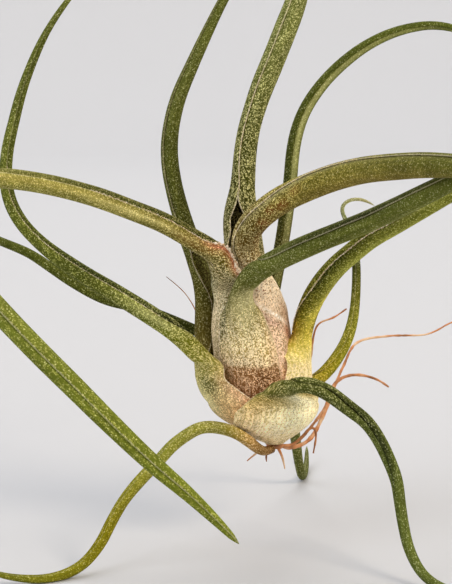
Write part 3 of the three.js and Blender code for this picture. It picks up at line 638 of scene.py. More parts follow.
# Rings of a leaf from the stem to the tip: outer and inner points, the length from the neck, the width of
# half the arc in mm, and how far the leaf is rolled up.
def leafRings(leaf):
    strip = leaf.get("strip", False)
    faces = leafMesh["acrossNarrow" if leaf.get("narrow") else "across"]
    v = np.linspace(-1, 1, faces + 1)[None, :, None]
    wall = bulb["wall"] * (1 - (1 - leafMesh["edge"]) * smooth(leafMesh["edgeAcross"], 1, np.abs(v)))
    rings = {"outer": [], "inner": [], "along": [], "half": [], "rolled": []}
    firstRadius = leaf["radii"][0]
    if strip:
        neckHeight = 0
        neckTurn = leaf["turn"]
        begin = np.array(leaf["start"])
        lead = unit(begin - np.array(leaf["route"][0])) * leafMesh["leadIn"]
        route = [begin + lead, begin] + list(leaf["route"])
    else:
        rows = [row if len(row) == 5 else row + (row[1],) for row in leaf["sheath"]]
        neckHeight, _, neckTurn, neckWrap, neckRadius = rows[-1]

        def centreAt(height):
            back, turn = readRows(rows, 1, height), readRows(rows, 2, height)
            return axisAt(height) + outward(turn) * (back - firstRadius)

        route = [centreAt(neckHeight - leafMesh["leadIn"]), centreAt(neckHeight)] + list(leaf["route"])

        # The rounded foot.
        top, radius, firstTurn, firstWrap = rows[0][:4]
        bottom = bulb["foot"] + bulb["pitch"] * leaf["layer"]
        stemSide = bulb["stemRadius"] - bulb["stemTaper"] * bottom + bulb["clearance"]
        part = np.arange(leafMesh["footRings"]) / leafMesh["footRings"]
        angle = (part * math.pi / 2)[:, None, None]
        spread = smooth(*leafMesh["footSpread"], part)[:, None, None]
        wrap = mix(leaf["base"][1], firstWrap, spread)
        turn = mix(leaf["base"][0], firstTurn, spread) + v * wrap
        for name, depth in (("outer", 0 * wall), ("inner", wall)):
            height = top - (top - bottom - depth) * np.cos(angle) + 0 * v
            out = stemSide + (radius - depth - stemSide) * np.sin(angle) ** bulb["fullness"] + 0 * v
            rings[name].append((axisAt(height) + outward(turn) * out[..., None])[:, :, 0])
        rings["along"].append(top - (top - bottom) * np.cos(angle[:, 0, 0]) - neckHeight)
        footRadius = stemSide + (radius - stemSide) * np.sin(angle[:, 0, 0]) ** bulb["fullness"]
        rings["half"].append(footRadius * np.radians(wrap[:, 0, 0]))
        rings["rolled"].append(0 * part)

    def addRings(centre, inward, side, arcRadius, halfWrap, rolled, along, hug, spin):
        rings["along"].append(along)
        rings["half"].append(arcRadius * np.radians(halfWrap))
        rings["rolled"].append(rolled)
        arcRadius = arcRadius[:, None, None]
        inward, side, centre = inward[:, None], side[:, None], centre[:, None]
        angle = np.radians(v * halfWrap[:, None, None] + spin[:, None, None])
        closed = rolled[:, None, None]
        # The margins lean in against the sheath underneath. On a rolled blade one dips under the other.
        hugged = np.where(v < 0, hug[0][:, None, None], hug[1][:, None, None])
        lean = smooth(leafMesh["leanAcross"], 1, np.abs(v)) * hugged
        small = np.minimum(arcRadius / leafMesh["slim"], 1)
        dip = leafMesh["tuck"] * small * smooth(leafMesh["tuckRolled"], 1, closed)
        dip = dip * smooth(*leafMesh["tuckAcross"], -v)
        thick = np.minimum(wall, leafMesh["mostWall"] * arcRadius)
        thick = thick * mix(1, small, closed * smooth(leafMesh["slimAcross"], 1, np.abs(v)))
        for name, depth in (("outer", dip), ("inner", dip + thick)):
            r = arcRadius - depth
            arc = centre - inward * r * np.cos(angle) + side * r * np.sin(angle)
            rings[name].append(arc + inward * lean)

    seam = leaf.get("seam", [(0, leafMesh["seam"])])
    spins = leaf.get("spin", flat)
    if not strip:
        # The sheath up to the neck.
        start, past = leaf["roll"]
        steps = int((neckHeight - top) / leafMesh["sheathStep"])
        height = np.linspace(top, neckHeight, steps)
        back, turn, wrap, openRadius = [readRows(rows, k, height) for k in (1, 2, 3, 4)]
        rolled = smooth(start, neckHeight + past, height)
        half = mix(wrap, seam[0][1], rolled)
        arc = mix(openRadius * wrap, firstRadius * seam[0][1], rolled)
        hug = [readRows(leaf.get("hug", flat), k, height) * (1 - rolled) for k in (1, 2)]
        out = outward(turn)
        side = np.cross(np.array([0, 0, 1]), out)
        centre = axisAt(height) + out * (back - arc / half)[:, None]
        spin = readRows(spins, 1, height)
        addRings(centre, -out, side, arc / half, half, rolled, height - neckHeight, hug, spin)
        if "swell" in leaf:
            middle, middleTurn, reach, width, amount = leaf["swell"]
            turns = turn[:, None] + v[..., 0] * half[:, None]
            away = ((height[:, None] - middle) / reach) ** 2 + ((turns - middleTurn) / width) ** 2
            for name in ("outer", "inner"):
                rings[name][-1] = rings[name][-1] + outward(turns) * (amount * np.exp(-away))[..., None]

    # The blade.
    path, reach = softPath(route)
    neck = reach[np.argmin(np.linalg.norm(path - route[1], axis=1))]
    length = reach[-1] - neck
    steps = int(length / leafMesh["bladeStep"])
    along = np.linspace(0 if strip else length / steps, length, steps)
    centre, ahead = [np.stack([np.interp(neck + along, reach, line[:, k]) for k in range(3)], 1)
                     for line in (path, np.gradient(path, axis=0))]
    ahead = unit(ahead)
    tilt = ahead
    if not strip:
        level = (1 - smooth(*leafMesh["upright"], along))[:, None]
        tilt = unit(mix(ahead, np.array([0, 0, 1.0]), level))
    facing = -outward(np.float64(neckTurn + spins[-1][1])) + 0 * ahead
    last = 0
    for place, way in leaf["ways"]:
        facing = mix(facing, unit(np.array(way, float)), smooth(last, place, along)[:, None])
        last = place
    inward = unit(facing - tilt * (facing * tilt).sum(1, keepdims=True))
    side = np.cross(inward, tilt)
    radius = readEven(leaf["radii"], along / length)
    radius = radius * np.sqrt(np.clip((length - along) / leafMesh["tip"], leafMesh["tipLeast"], 1))
    rolled = np.ones_like(along)
    half = readStops(seam, along)
    arc = radius * mix(half, leafMesh["seam"], leafMesh["seamHold"])
    shift = inward
    if not strip and past > 0:
        rolled = smooth(start, neckHeight + past, neckHeight + along)
        half, arc = mix(neckWrap, half, rolled), mix(neckRadius * neckWrap, arc, rolled)
        turning = smooth(0, leafMesh["upright"][1], along)[:, None]
        shift = mix(-outward(np.float64(neckTurn)), inward, turning)
    centre = centre + shift * (arc / half - radius)[:, None]
    addRings(centre, inward, side, arc / half, half, rolled, along, [0 * along, 0 * along], 0 * along)
    return {name: np.concatenate(parts) for name, parts in rings.items()}


def meshObject(name, points, faces, material):
    mesh = bpy.data.meshes.new(name)
    mesh.from_pydata([tuple(p) for p in points], [], faces)
    mesh.polygons.foreach_set("use_smooth", [True] * len(mesh.polygons))
    mesh.materials.append(material)
    made = bpy.data.objects.new(name, mesh)
    bpy.context.collection.objects.link(made)
    return made


# Faces between rings of points that each close on themselves.
def ringFaces(rings, size):
    faces = []
    for i in range(rings - 1):
        a, b = i * size, (i + 1) * size
        for j in range(size):
            k = (j + 1) % size
            faces.append((a + j, a + k, b + k, b + j))
    return faces


# Adds a node with its settings, and fills its inputs, in order or by name, with values or links. None
# leaves an input as it is, and a node links its first output.
def addNode(tree, kind, settings=(), *inOrder, **byName):
    node = tree.nodes.new(kind)
    for key, value in dict(settings).items():
        setattr(node, key, value)
    for key, value in [*enumerate(inOrder), *byName.items()]:
        if isinstance(value, bpy.types.Node):
            value = value.outputs[0]
        if isinstance(value, bpy.types.NodeSocket):
            tree.links.new(value, node.inputs[key])
        elif value is not None:
            node.inputs[key].default_value = value
    return node


# Kinds of node and settings that come up often.
maths = "ShaderNodeMath"
vectorMaths = "ShaderNodeVectorMath"
mapRange = "ShaderNodeMapRange"
blend = "ShaderNodeMix"
noiseTexture = "ShaderNodeTexNoise"
randomValue = "FunctionNodeRandomValue"
times = {"operation": "MULTIPLY"}
scale = {"operation": "SCALE"}
vector = {"data_type": "VECTOR"}
eased = {"interpolation_type": "SMOOTHSTEP"}
usual = (0.3, 0.7)  # where most of a noise's values lie


def startMaterial(name):
    material = bpy.data.materials.new(name)
    material.use_nodes = True
    material.node_tree.nodes.clear()
    return material, material.node_tree


# Ends a material in a coat with the given inputs, and with its relief in mm.
def endMaterial(tree, coat, rise=None, depth=0):
    shader = addNode(tree, "ShaderNodeBsdfPrincipled", **coat)
    if rise is not None:
        bump = addNode(tree, "ShaderNodeBump", Height=rise, Distance=depth * mm, Strength=1)
        tree.links.new(bump.outputs["Normal"], shader.inputs["Normal"])
    addNode(tree, "ShaderNodeOutputMaterial", Surface=shader)


# Living leaf: a smooth green skin under pale shield scales that lie as a speckle and leave the skin dull.
# The real scales are 0.1 to 0.3 mm wide, too fine to show in the render, so they are drawn as coarse as
# they need to be.
leafSkin = {
    "patterns": {  # mm across and along, then a noise's detail and the span it is drawn over
        "scale": (0.22, 0.26, 0),
        "cluster": (0.5, 0.8, 4, 0, 1),
        "mottle": (2.4, 4.8, 3, 0.86, 1.14),
        "vein": (0.5, 9, 1, 0.84, 1.14),
    },
    "clusterShare": 0.22,  # how much clusters, not chance, decide where scales lie
    "bareLevel": (0.8, 0.2),  # how few cells hold a scale, without cover and with all of it
    "softness": 0.1,
    "coverSpan": (0.42, 0.85),  # thin and dense cover
    "gapShow": (0.2, 0.85),  # of a scale's own pallor, between scales on thin and on dense cover
    "rounding": (0.3, 0.62),  # where a scale begins to fade from its middle, and where it has
    "scaleTones": (0.936, 1.416),  # of the scurf's colour, from the dullest scale to the brightest
    "glint": (1, 0),  # how many scales catch the light, on thin and on dense cover
    "glintPower": 5,
    "glintColour": "8e8c78",
    "tissueTone": (0.9, 0.94, 0.7),
    "margin": "eee2be",
    "marginBeads": (0.08, 0.24),  # mm wide
    "beadSpan": (0.2, 0.8),  # of crowding, over which beads widen
    "marginFade": (1.3, 0.6),  # of a bead's width from the margin, over which its line shows
    "inside": "64582c",
    "insideBoost": 2.8,  # what little light falls in there picks out the scurf
    "deep": 0.25,  # how bright the inside is where it goes down between the youngest leaves
    "farCalm": 0.45,  # how far skin and scurf blend at the end of a blade
    "calmReach": (0, 60),  # mm past the neck
    "washTissue": 0.8,  # how bright a wash is on the skin
    "washTint": (1.35, 0.7),  # how bright and how strong it is on the scurf
    "scaleRise": 0.06,  # mm
    "veinRise": 0.9,
    "roughness": 0.74,
    "specular": 0.06,
}


# Colours of a leaf at each point, from stops along it and soft washes over places on it.
# A wash is its place along and across, its reach along and across, its colour and its strength.
# A number after these, if not 0, keeps the scurf's colour and thins its cover by that much.
# The last one is how far across it slants in 1 mm.
# Some washes are painted shade beside a seam or below a fold, or painted light on an edge or a sheath's
# underside; the rest are the leaf's own colour.
def leafColours(leaf, along, across):
    def stops(name):
        places = [place for place, _ in leaf[name]]
        colours = np.array([toLinear(colour) for _, colour in leaf[name]])
        return np.stack([np.interp(along, places, colours[:, k]) for k in range(3)], -1)

    tissue, tint, cover = stops("tissue"), stops("tint"), readStops(leaf["cover"], along)
    brighter, hold = leafSkin["washTint"]
    for place, middle, reach, width, colour, strength, *more in leaf.get("washes", []):
        bare, slant = (more + [0, 0])[:2]
        sideways = across - middle - slant * (along - place)
        weight = strength * np.exp(-((along - place) / reach) ** 2 - (sideways / width) ** 2)
        wash = np.array(toLinear(colour))
        tissue = mix(tissue, wash * leafSkin["washTissue"], weight[..., None])
        if bare:
            cover = cover - bare * weight
        else:
            tint = mix(tint, np.minimum(wash * brighter, 1), weight[..., None] * hold)
    # Far out on a blade the scales are so small that they blend with the skin.
    calm = leafSkin["farCalm"] * smooth(*leafSkin["calmReach"], along)[..., None]
    middle = (tissue + tint) / 2
    return mix(tissue, middle, calm), mix(tint, middle, calm), cover


def makeLeafSkin():
    skin = leafSkin
    material, tree = startMaterial("Scurfy living leaf")
    read = {name: addNode(tree, "ShaderNodeAttribute", {"attribute_name": name}).outputs
            for name in ("leafPlace", "tissue", "scurfTint", "leafCover", "leafRim")}
    place, tint = read["leafPlace"]["Vector"], read["scurfTint"]["Color"]
    density, edge, inside = addNode(tree, "ShaderNodeSeparateXYZ", (), read["leafCover"]["Vector"]).outputs

    # Noise stretched along the leaf: clusters of scales, a broad mottling, and veins.
    spots, noises, clouds = {}, {}, {}
    for name, (width, length, detail, *span) in skin["patterns"].items():
        spots[name] = addNode(tree, vectorMaths, times, place, (1 / width, 1 / length, 1 / width))
        if detail:
            noises[name] = addNode(tree, noiseTexture, Vector=spots[name], Scale=1.0, Detail=detail)
            clouds[name] = addNode(tree, mapRange, (), noises[name], *usual, *span)
    shade = addNode(tree, maths, times, clouds["vein"], clouds["mottle"])

    # Every cell holds a scale or bare skin. Scales crowd in clusters, and lie thicker as the cover grows.
    cells = addNode(tree, "ShaderNodeTexVoronoi", Vector=spots["scale"], Scale=1.0).outputs
    chance, brightness, _ = addNode(tree, "ShaderNodeSeparateColor", (), cells["Color"]).outputs
    crowd = addNode(tree, blend, (), skin["clusterShare"], None, chance, clouds["cluster"])
    level = addNode(tree, mapRange, (), density, 0, 1, *skin["bareLevel"])
    over = addNode(tree, maths, {"operation": "SUBTRACT"}, crowd, level)
    grains = addNode(tree, mapRange, eased, over, -skin["softness"], skin["softness"])
    gap = addNode(tree, mapRange, (), density, *skin["coverSpan"], *skin["gapShow"])
    rounded = addNode(tree, mapRange, eased, cells["Distance"], *skin["rounding"], 1, gap)
    shown = addNode(tree, maths, times, grains, rounded)

    # Skin under pale scales, each of its own brightness. A few catch the light.
    toned = addNode(tree, vectorMaths, times, read["tissue"]["Color"], skin["tissueTone"])
    dark = addNode(tree, vectorMaths, scale, toned, Scale=shade)
    tone = addNode(tree, mapRange, (), brightness, 0, 1, *skin["scaleTones"])
    bright = addNode(tree, maths, times, tone, shade)
    pale = addNode(tree, vectorMaths, scale, tint, Scale=bright)
    keen = addNode(tree, maths, {"operation": "POWER"}, brightness, skin["glintPower"])
    bareness = addNode(tree, mapRange, (), density, *skin["coverSpan"], *skin["glint"])
    glint = addNode(tree, maths, times, keen, bareness)
    sparkle = addNode(tree, vectorMaths, scale, toLinear(skin["glintColour"]), Scale=glint)
    lit = addNode(tree, vectorMaths, {"operation": "ADD"}, pale, sparkle)
    scurfy = addNode(tree, blend, vector, shown, None, None, None, dark, lit).outputs[1]

    # A pale line of thicker scales along the margins, broken into beads.
    bead = addNode(tree, mapRange, (), crowd, *skin["beadSpan"], *skin["marginBeads"])
    near = addNode(tree, maths, {"operation": "DIVIDE"}, edge, bead)
    line = addNode(tree, mapRange, eased, near, *skin["marginFade"])
    drawn = addNode(tree, maths, times, line, read["leafRim"]["Fac"])
    margin = toLinear(skin["margin"])
    rimmed = addNode(tree, blend, vector, drawn, None, None, None, scurfy, margin).outputs[1]

    # The inside of a sheath.
    boosted = addNode(tree, maths, times, bright, skin["insideBoost"])
    scurf = addNode(tree, vectorMaths, scale, tint, Scale=boosted)
    bare = toLinear(skin["inside"])
    lining = addNode(tree, blend, vector, shown, None, None, None, bare, scurf).outputs[1]
    depth = addNode(tree, mapRange, (), inside, 1, 2, 1, skin["deep"])
    dimmer = addNode(tree, maths, times, shade, depth)
    lined = addNode(tree, vectorMaths, scale, lining, Scale=dimmer)
    colour = addNode(tree, blend, vector, inside, None, None, None, rimmed, lined).outputs[1]

    veins = addNode(tree, maths, times, noises["vein"], skin["veinRise"])
    rise = addNode(tree, maths, {"operation": "ADD"}, shown, veins)
    coat = {"Base Color": colour, "Roughness": skin["roughness"], "Specular IOR Level": skin["specular"]}
    endMaterial(tree, coat, rise, skin["scaleRise"])
    return material


# Wiry root: dry woody fibre, tan to rust, dull, with a fine lengthwise grain.
rootSkin = {
    "colours": [(0.34, "80522e"), (0.5, "c48250"), (0.66, "e2c29c")],  # from dark through rust to pale
    "patch": 6.0,  # mm
    "fibre": 0.2,
    "fibreRise": 0.08,
    "roughness": 0.8,
}


def makeRootSkin():
    material, tree = startMaterial("Dry wiry root")
    where = addNode(tree, "ShaderNodeTexCoord").outputs["Object"]
    patch = addNode(tree, noiseTexture, Vector=where, Scale=1 / (rootSkin["patch"] * mm), Detail=3)
    fibre = addNode(tree, noiseTexture, Vector=where, Scale=1 / (rootSkin["fibre"] * mm), Detail=2)
    ramp = addNode(tree, "ShaderNodeValToRGB", Fac=patch)
    stops = ramp.color_ramp.elements
    stops.new(0.5)
    for stop, (position, colour) in zip(stops, rootSkin["colours"]):
        stop.position = position
        stop.color = toLinear(colour) + [1]
    coat = {"Base Color": ramp.outputs[0], "Roughness": rootSkin["roughness"]}
    endMaterial(tree, coat, fibre, rootSkin["fibreRise"])
    return material


# Crowded shield scales: thin dry silvery-cream flakes, quite dull, some of them tanned.
beadSkin = {
    "pale": "fff2dc",
    "tan": "d8b48a",
    "patch": 0.7,  # mm
    "patchSpan": (0.35, 0.65),
    "roughness": 0.8,
}


def makeBeadSkin():
    material, tree = startMaterial("Crowded shield scales")
    where = addNode(tree, "ShaderNodeTexCoord").outputs["Object"]
    patch = addNode(tree, noiseTexture, Vector=where, Scale=1 / (beadSkin["patch"] * mm), Detail=1)
    share = addNode(tree, mapRange, (), patch, *beadSkin["patchSpan"])
    ends = [toLinear(beadSkin[name]) for name in ("tan", "pale")]
    colour = addNode(tree, blend, vector, share, None, None, None, *ends).outputs[1]
    endMaterial(tree, {"Base Color": colour, "Roughness": beadSkin["roughness"]})
    return material


leafMaterial = makeLeafSkin()
rootMaterial = makeRootSkin()
beadMaterial = makeBeadSkin()
print("materials made")


def buildLeaf(node, leaf, seed):
    rings = leafRings(leaf)
    outer, inner = rings["outer"], rings["inner"]
    count, wide = outer.shape[:2]
    # A rounded lip joins the outer arc to the inner one at each margin.
    lips = []
    for end, before in ((-1, -2), (0, 1)):
        gap = np.linalg.norm(outer[:, end] - inner[:, end], axis=1, keepdims=True) * leafMesh["lip"]
        lips.append((outer[:, end] + inner[:, end]) / 2 + unit(outer[:, end] - outer[:, before]) * gap)
    ring = np.concatenate([outer, lips[0][:, None], inner[:, ::-1], lips[1][:, None]], 1)
    size = ring.shape[1]

    # Where each point lies, in mm across and along, and how far from the margin.
    span = np.linspace(-1, 1, wide)
    across = np.repeat(np.concatenate([span, [1], span[::-1], [-1]])[None], count, 0)
    along = np.repeat(rings["along"][:, None], size, 1)
    walked = np.linalg.norm(np.diff(ring[:, wide // 2], axis=0), axis=1)
    mmAlong = np.repeat(np.concatenate([[0], np.cumsum(walked)])[:, None], size, 1)
    mmAcross = across * rings["half"][:, None]
    edge = (1 - np.abs(across)) * rings["half"][:, None]
    # The inside counts double, which draws it darker, where no light gets to it.
    lip = [leafMesh["lipInside"]]
    inside = np.concatenate([0 * span, lip, 0 * span + 1, lip])[None] + 0 * along
    if "lit" in leaf:
        inside = inside * (2 - smooth(*leaf["lit"], along))

    # Gentle unevenness, the same on both faces.
    centre = ring.mean(1, keepdims=True)
    height = mix(leafMesh["sheathWave"], leafMesh["bladeWave"], rings["rolled"])[:, None]
    x, y = leafMesh["wavePerMm"]
    wave = [noise.noise(Vector((mmAcross[i, j] * x, mmAlong[i, j] * y, seed * leafMesh["waveSeed"])))
            for i in range(count) for j in range(size)]
    ring = ring + unit(ring - centre) * (np.array(wave).reshape(count, size) * height)[..., None]
    points = (ring.reshape(-1, 3) + plantPlace) * mm
    points[:, 2] = np.maximum(points[:, 2], 0)

    # The ends are closed from margin to margin.
    faces = ringFaces(count, size)
    for row, way in ((0, -1), (count - 1, 1)):
        base = row * size
        for j in range(wide - 1):
            a, d = base + j, base + 2 * wide - j
            faces.append((a, a + 1, d - 1, d)[::way])
        rightLip = base + wide
        leftLip = base + 2 * wide
        faces.append((rightLip - 1, rightLip, rightLip + 1)[::way])
        faces.append((leftLip, leftLip + 1, base)[::way])

    first, *others = node.split("_")
    name = first + "".join(word.capitalize() for word in others)
    made = meshObject(name, points, faces, leafMaterial)
    tissue, tint, cover = leafColours(leaf, along, across)
    solid = np.ones((count, size, 1))
    rim = readStops(leaf.get("rim", flat), along)
    fields = {
        "tissue": ("FLOAT_COLOR", "color", np.concatenate([tissue, solid], -1)),
        "scurfTint": ("FLOAT_COLOR", "color", np.concatenate([tint, solid], -1)),
        "leafPlace": ("FLOAT_VECTOR", "vector",
                      np.stack([mmAcross, mmAlong, 0 * along + seed * leafMesh["patternSeed"]], -1)),
        "leafCover": ("FLOAT_VECTOR", "vector", np.stack([cover, edge, inside], -1)),
        "leafRim": ("FLOAT", "value", rim),
    }
    for name, (kind, slot, values) in fields.items():
        field = made.data.attributes.new(name, kind, "POINT")
        field.data.foreach_set(slot, values.astype(np.float32).ravel())
    return made, rings


grown = {}
for seed, (node, leaf) in enumerate(leaves.items()):
    made, rings = buildLeaf(node, leaf, seed)
    grown[node] = (made, rings)
    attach(made, "root")
    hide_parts(node)
print("leaves made:", sum(len(made.data.polygons) * 2 for made, _ in grown.values()), "triangles")


# Starts a geometry node tree over curves, with a named input for each value. It first cuts them into steps.
def startTree(name, inputs):
    tree = bpy.data.node_groups.new(name, "GeometryNodeTree")
    tree.interface.new_socket(name="Geometry", in_out="OUTPUT", socket_type="NodeSocketGeometry")
    sockets = {"Geometry": ("Geometry", None), **inputs, "Material": ("Material", None)}
    for title, (kind, value) in sockets.items():
        socket = tree.interface.new_socket(name=title, in_out="INPUT", socket_type="NodeSocket" + kind)
        if value is not None:
            socket.default_value = value
    given = addNode(tree, "NodeGroupInput").outputs
    even = addNode(tree, "GeometryNodeResampleCurve", {"mode": "LENGTH"}, Curve=given["Geometry"],
                   Length=given["Step"])
    return tree, given, even


# Ends it in plain smooth geometry with its material.
def endTree(tree, given, geometry):
    real = addNode(tree, "GeometryNodeRealizeInstances", Geometry=geometry)
    painted = addNode(tree, "GeometryNodeSetMaterial", Geometry=real, Material=given["Material"])
    soft = addNode(tree, "GeometryNodeSetShadeSmooth", Geometry=painted)
    addNode(tree, "NodeGroupOutput", Geometry=soft)


# Grows a piece along paths of the given widths, and makes it a plain mesh.
def growPiece(name, tree, material, paths, widths):
    curve = bpy.data.curves.new(name, "CURVE")
    curve.dimensions = "3D"
    for path, width in zip(paths, widths):
        path = (path + plantPlace) * mm
        spline = curve.splines.new("POLY")
        spline.points.add(len(path) - 1)
        spline.points.foreach_set("co", np.hstack([path, np.ones((len(path), 1))]).ravel())
        spline.points.foreach_set("radius", [width / 2 * mm] * len(path))
    source = bpy.data.objects.new(name, curve)
    bpy.context.collection.objects.link(source)
    modifier = source.modifiers.new("grow", "NODES")
    modifier.node_group = tree
    inputs = [socket for socket in tree.interface.items_tree if socket.in_out == "INPUT"]
    identifiers = {socket.name: socket.identifier for socket in inputs}
    modifier[identifiers["Material"]] = material
    bpy.context.view_layer.update()
    depsgraph = bpy.context.evaluated_depsgraph_get()
    mesh = bpy.data.meshes.new_from_object(source.evaluated_get(depsgraph), depsgraph=depsgraph)
    bpy.data.objects.remove(source)
    mesh.name = name
    made = bpy.data.objects.new(name, mesh)
    bpy.context.collection.objects.link(made)
    return made


# A point of a leaf's outer face at a place along and across.
def onLeaf(rings, along, across):
    outer = rings["outer"]
    row = np.interp(along, rings["along"], np.arange(len(outer)))
    column = (np.asarray(across) + 1) / 2 * (outer.shape[1] - 1)
    i = np.minimum(row.astype(int), len(outer) - 2)
    j = np.minimum(column.astype(int), outer.shape[1] - 2)
    s, t = (row - i)[:, None], (column - j)[:, None]
    return mix(mix(outer[i, j], outer[i, j + 1], t), mix(outer[i + 1, j], outer[i + 1, j + 1], t), s)


# Shield scales crowded into pale beaded lines.
beads = {
    "spacing": 0.26,  # mm
    "scatter": 0.9,  # of a bead's radius
    "sizes": (0.5, 1.15),
    "seed": 11,
    "steps": 80,
    "rows": [  # leaf, across and mm past the neck at the start and at the end, and a bead's width in mm
        ("leaf_left_near", (1, 9), (1, 4), 0.3),
        ("leaf_left_near", (1, 6), (1, -5), 0.62),
        ("leaf_left_near", (0.98, 4.5), (0.93, -5), 0.6),
        ("leaf_left_near", (0.95, 3), (0.86, -5), 0.56),
        ("leaf_left_near", (0.91, 1), (0.79, -5), 0.5),
        ("leaf_left_near", (0.85, -1), (0.72, -5), 0.42),
        ("leaf_left_near", (1, 40), (1, 9), 0.2),
        ("leaf_left_near", (0.35, 9), (0.05, 1), 0.16),
        ("leaf_right_near", (1, 44), (1, 3), 0.16),
        ("leaf_right_near", (-1, 44), (-1, -3), 0.18),
        ("leaf_centre", (1, 30), (1, -6), 0.18),
        ("leaf_centre", (-1, 6), (-1, -6), 0.16),
        ("leaf_up_left", (1, 26), (1, 8), 0.16),
        ("leaf_right_outer", (1, 42), (1, 1), 0.26),
        ("leaf_right_front", (-1, 0), (-1, -18), 0.24),
        ("leaf_left_outer", (1, -1), (1, -9), 0.2),
        ("leaf_left_outer", (1, 62), (1, 12), 0.15),
    ],
}


def beadTree():
    sizes = {"Step": ("Float", beads["spacing"] * mm), "Scatter": ("Float", beads["scatter"]),
             "Seed": ("Int", beads["seed"])}
    tree, given, even = startTree("Crowded scales", sizes)
    seed = given["Seed"]
    spots = addNode(tree, "GeometryNodeCurveToPoints", {"mode": "EVALUATED"}, Curve=even)
    width = addNode(tree, "GeometryNodeInputRadius")
    triple = {"data_type": "FLOAT_VECTOR"}
    way = addNode(tree, randomValue, triple, [-1] * 3, [1] * 3, Seed=seed)
    turn = addNode(tree, randomValue, triple, [0] * 3, [math.tau] * 3, Seed=seed)
    share = addNode(tree, randomValue, (), None, None, *beads["sizes"], Seed=seed).outputs[1]
    loose = addNode(tree, maths, times, width, given["Scatter"])
    push = addNode(tree, vectorMaths, scale, way, Scale=loose)
    moved = addNode(tree, "GeometryNodeSetPosition", Geometry=spots, Offset=push)
    bead = addNode(tree, "GeometryNodeMeshIcoSphere", Radius=1.0, Subdivisions=1)
    size = addNode(tree, maths, times, width, share)
    placed = addNode(tree, "GeometryNodeInstanceOnPoints", Points=moved, Instance=bead, Rotation=turn,
                     Scale=size)
    endTree(tree, given, placed)
    return tree


beadPaths = []
beadWidths = []
for node, start, end, width in beads["rows"]:
    steps = np.linspace(0, 1, beads["steps"])
    beadPaths.append(onLeaf(grown[node][1], mix(start[1], end[1], steps), mix(start[0], end[0], steps)))
    beadWidths.append(width)
beadPiece = growPiece("crowdedScales", beadTree(), beadMaterial, beadPaths, beadWidths)
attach(beadPiece, "root")
print("crowded scales made:", len(beadPiece.data.polygons), "faces")

# Wiry roots round the stem's foot.
roots = {
    "sides": 8,
    "step": 0.5,  # mm
    "wander": 0.22,
    "wanderPerMetre": 260,
    "lumpsPerMetre": 700,
    "lumps": (0.75, 1.15),  # of the width
    "taper": (0.55, 0.5),  # where it begins, and the width left at the end
    "seed": 3,
    "every": 3,  # points of a route taken
    "widths": [0.7, 0.8, 1, 0.75, 0.6, 0.55, 0.55, 0.3],
    "routes": [
        [(3, 0.6, -0.9), (6, 5, -2.6), (10, 13, -1.5), (15, 22, 2.5), (20, 33, 10), (24, 41, 14.6),
         (32.5, 46, 15.4), (42.5, 50, 15.2), (48.5, 52, 17.8), (57, 54, 20.5)],
        [(2.6, 1, -0.9), (4.2, 8, -2.4), (7.5, 15, 1.5), (9.8, 18, 8), (11.3, 16.2, 15), (11.8, 14.2, 20.5),
         (13, 13.4, 24), (16, 14, 24.8), (19.5, 15, 27)],
        [(3.3, 0.5, -0.9), (6.5, 4.5, -2.6), (11, 10, -2), (15, 17, 3.5), (17.5, 22, 8.5), (22.5, 27, 9.4),
         (28, 29, 7.8), (31, 30, 5.6)],
        [(3.5, 0.2, -0.9), (6.4, 2.4, -1.6), (9.4, 4.2, 0.2), (11.3, 5, 2.4), (12.1, 5, 1.4),
         (11.9, 4.4, -1.2), (11.4, 4, -4)],
        [(3.2, -0.6, -0.9), (4.4, -1.6, -3), (5, -2.2, -6.2)],
        [(1.9, 0.4, -0.9), (0.8, 0.8, -3.4), (1.2, 1.8, -5.4)],
        [(1.7, -0.3, -0.9), (-1.2, -1, -2.4), (-3.6, -0.8, -4.6)],
        [(-9.5, 13.5, 14), (-12.5, 14.5, 20), (-14.4, 14, 26), (-15.6, 14, 28.6), (-18, 14, 31.6),
         (-21.6, 14, 34.6)],
    ],
}


def rootTree():
    sizes = {"Step": ("Float", roots["step"] * mm), "Wander": ("Float", roots["wander"] * mm),
             "Sides": ("Int", roots["sides"]), "Seed": ("Float", roots["seed"])}
    tree, given, even = startTree("Wiry roots", sizes)
    where = addNode(tree, "GeometryNodeInputPosition")
    seeded = {"noise_dimensions": "4D"}
    wander = addNode(tree, noiseTexture, seeded, where, given["Seed"], roots["wanderPerMetre"], 2)
    lumps = addNode(tree, noiseTexture, seeded, where, given["Seed"], roots["lumpsPerMetre"], 1)
    centred = addNode(tree, vectorMaths, {"operation": "SUBTRACT"}, wander.outputs["Color"], [0.5] * 3)
    push = addNode(tree, vectorMaths, scale, centred, Scale=given["Wander"])
    bent = addNode(tree, "GeometryNodeSetPosition", Geometry=even, Offset=push)
    along = addNode(tree, "GeometryNodeSplineParameter").outputs["Factor"]
    lumpy = addNode(tree, mapRange, (), lumps, *usual, *roots["lumps"])
    begin, end = roots["taper"]
    taper = addNode(tree, mapRange, (), along, begin, 1, 1, end)
    width = addNode(tree, "GeometryNodeInputRadius")
    scaled = addNode(tree, maths, times, lumpy, taper)
    radius = addNode(tree, maths, times, scaled, width)
    profile = addNode(tree, "GeometryNodeCurvePrimitiveCircle", Resolution=given["Sides"], Radius=1.0)
    ends = {"Profile Curve": profile, "Fill Caps": True, "Scale": radius}
    endTree(tree, given, addNode(tree, "GeometryNodeCurveToMesh", Curve=bent, **ends))
    return tree


rootPaths = [softPath(route)[0][::roots["every"]] for route in roots["routes"]]
rootPiece = growPiece("wiryRoots", rootTree(), rootMaterial, rootPaths, roots["widths"])

# The short stem, a stub with ragged rings where old leaves came away.
stem = {
    "bottom": -1.6,
    "top": 9,
    "rings": 60,
    "sides": 40,
    "end": 0.55,  # of the radius, at the rounded bottom
    "widen": 0.6,  # per mm above it
    "rough": 0.12,  # mm
    "roughFine": (1.6, 2.2),  # how fine round it, and per mm up it
}


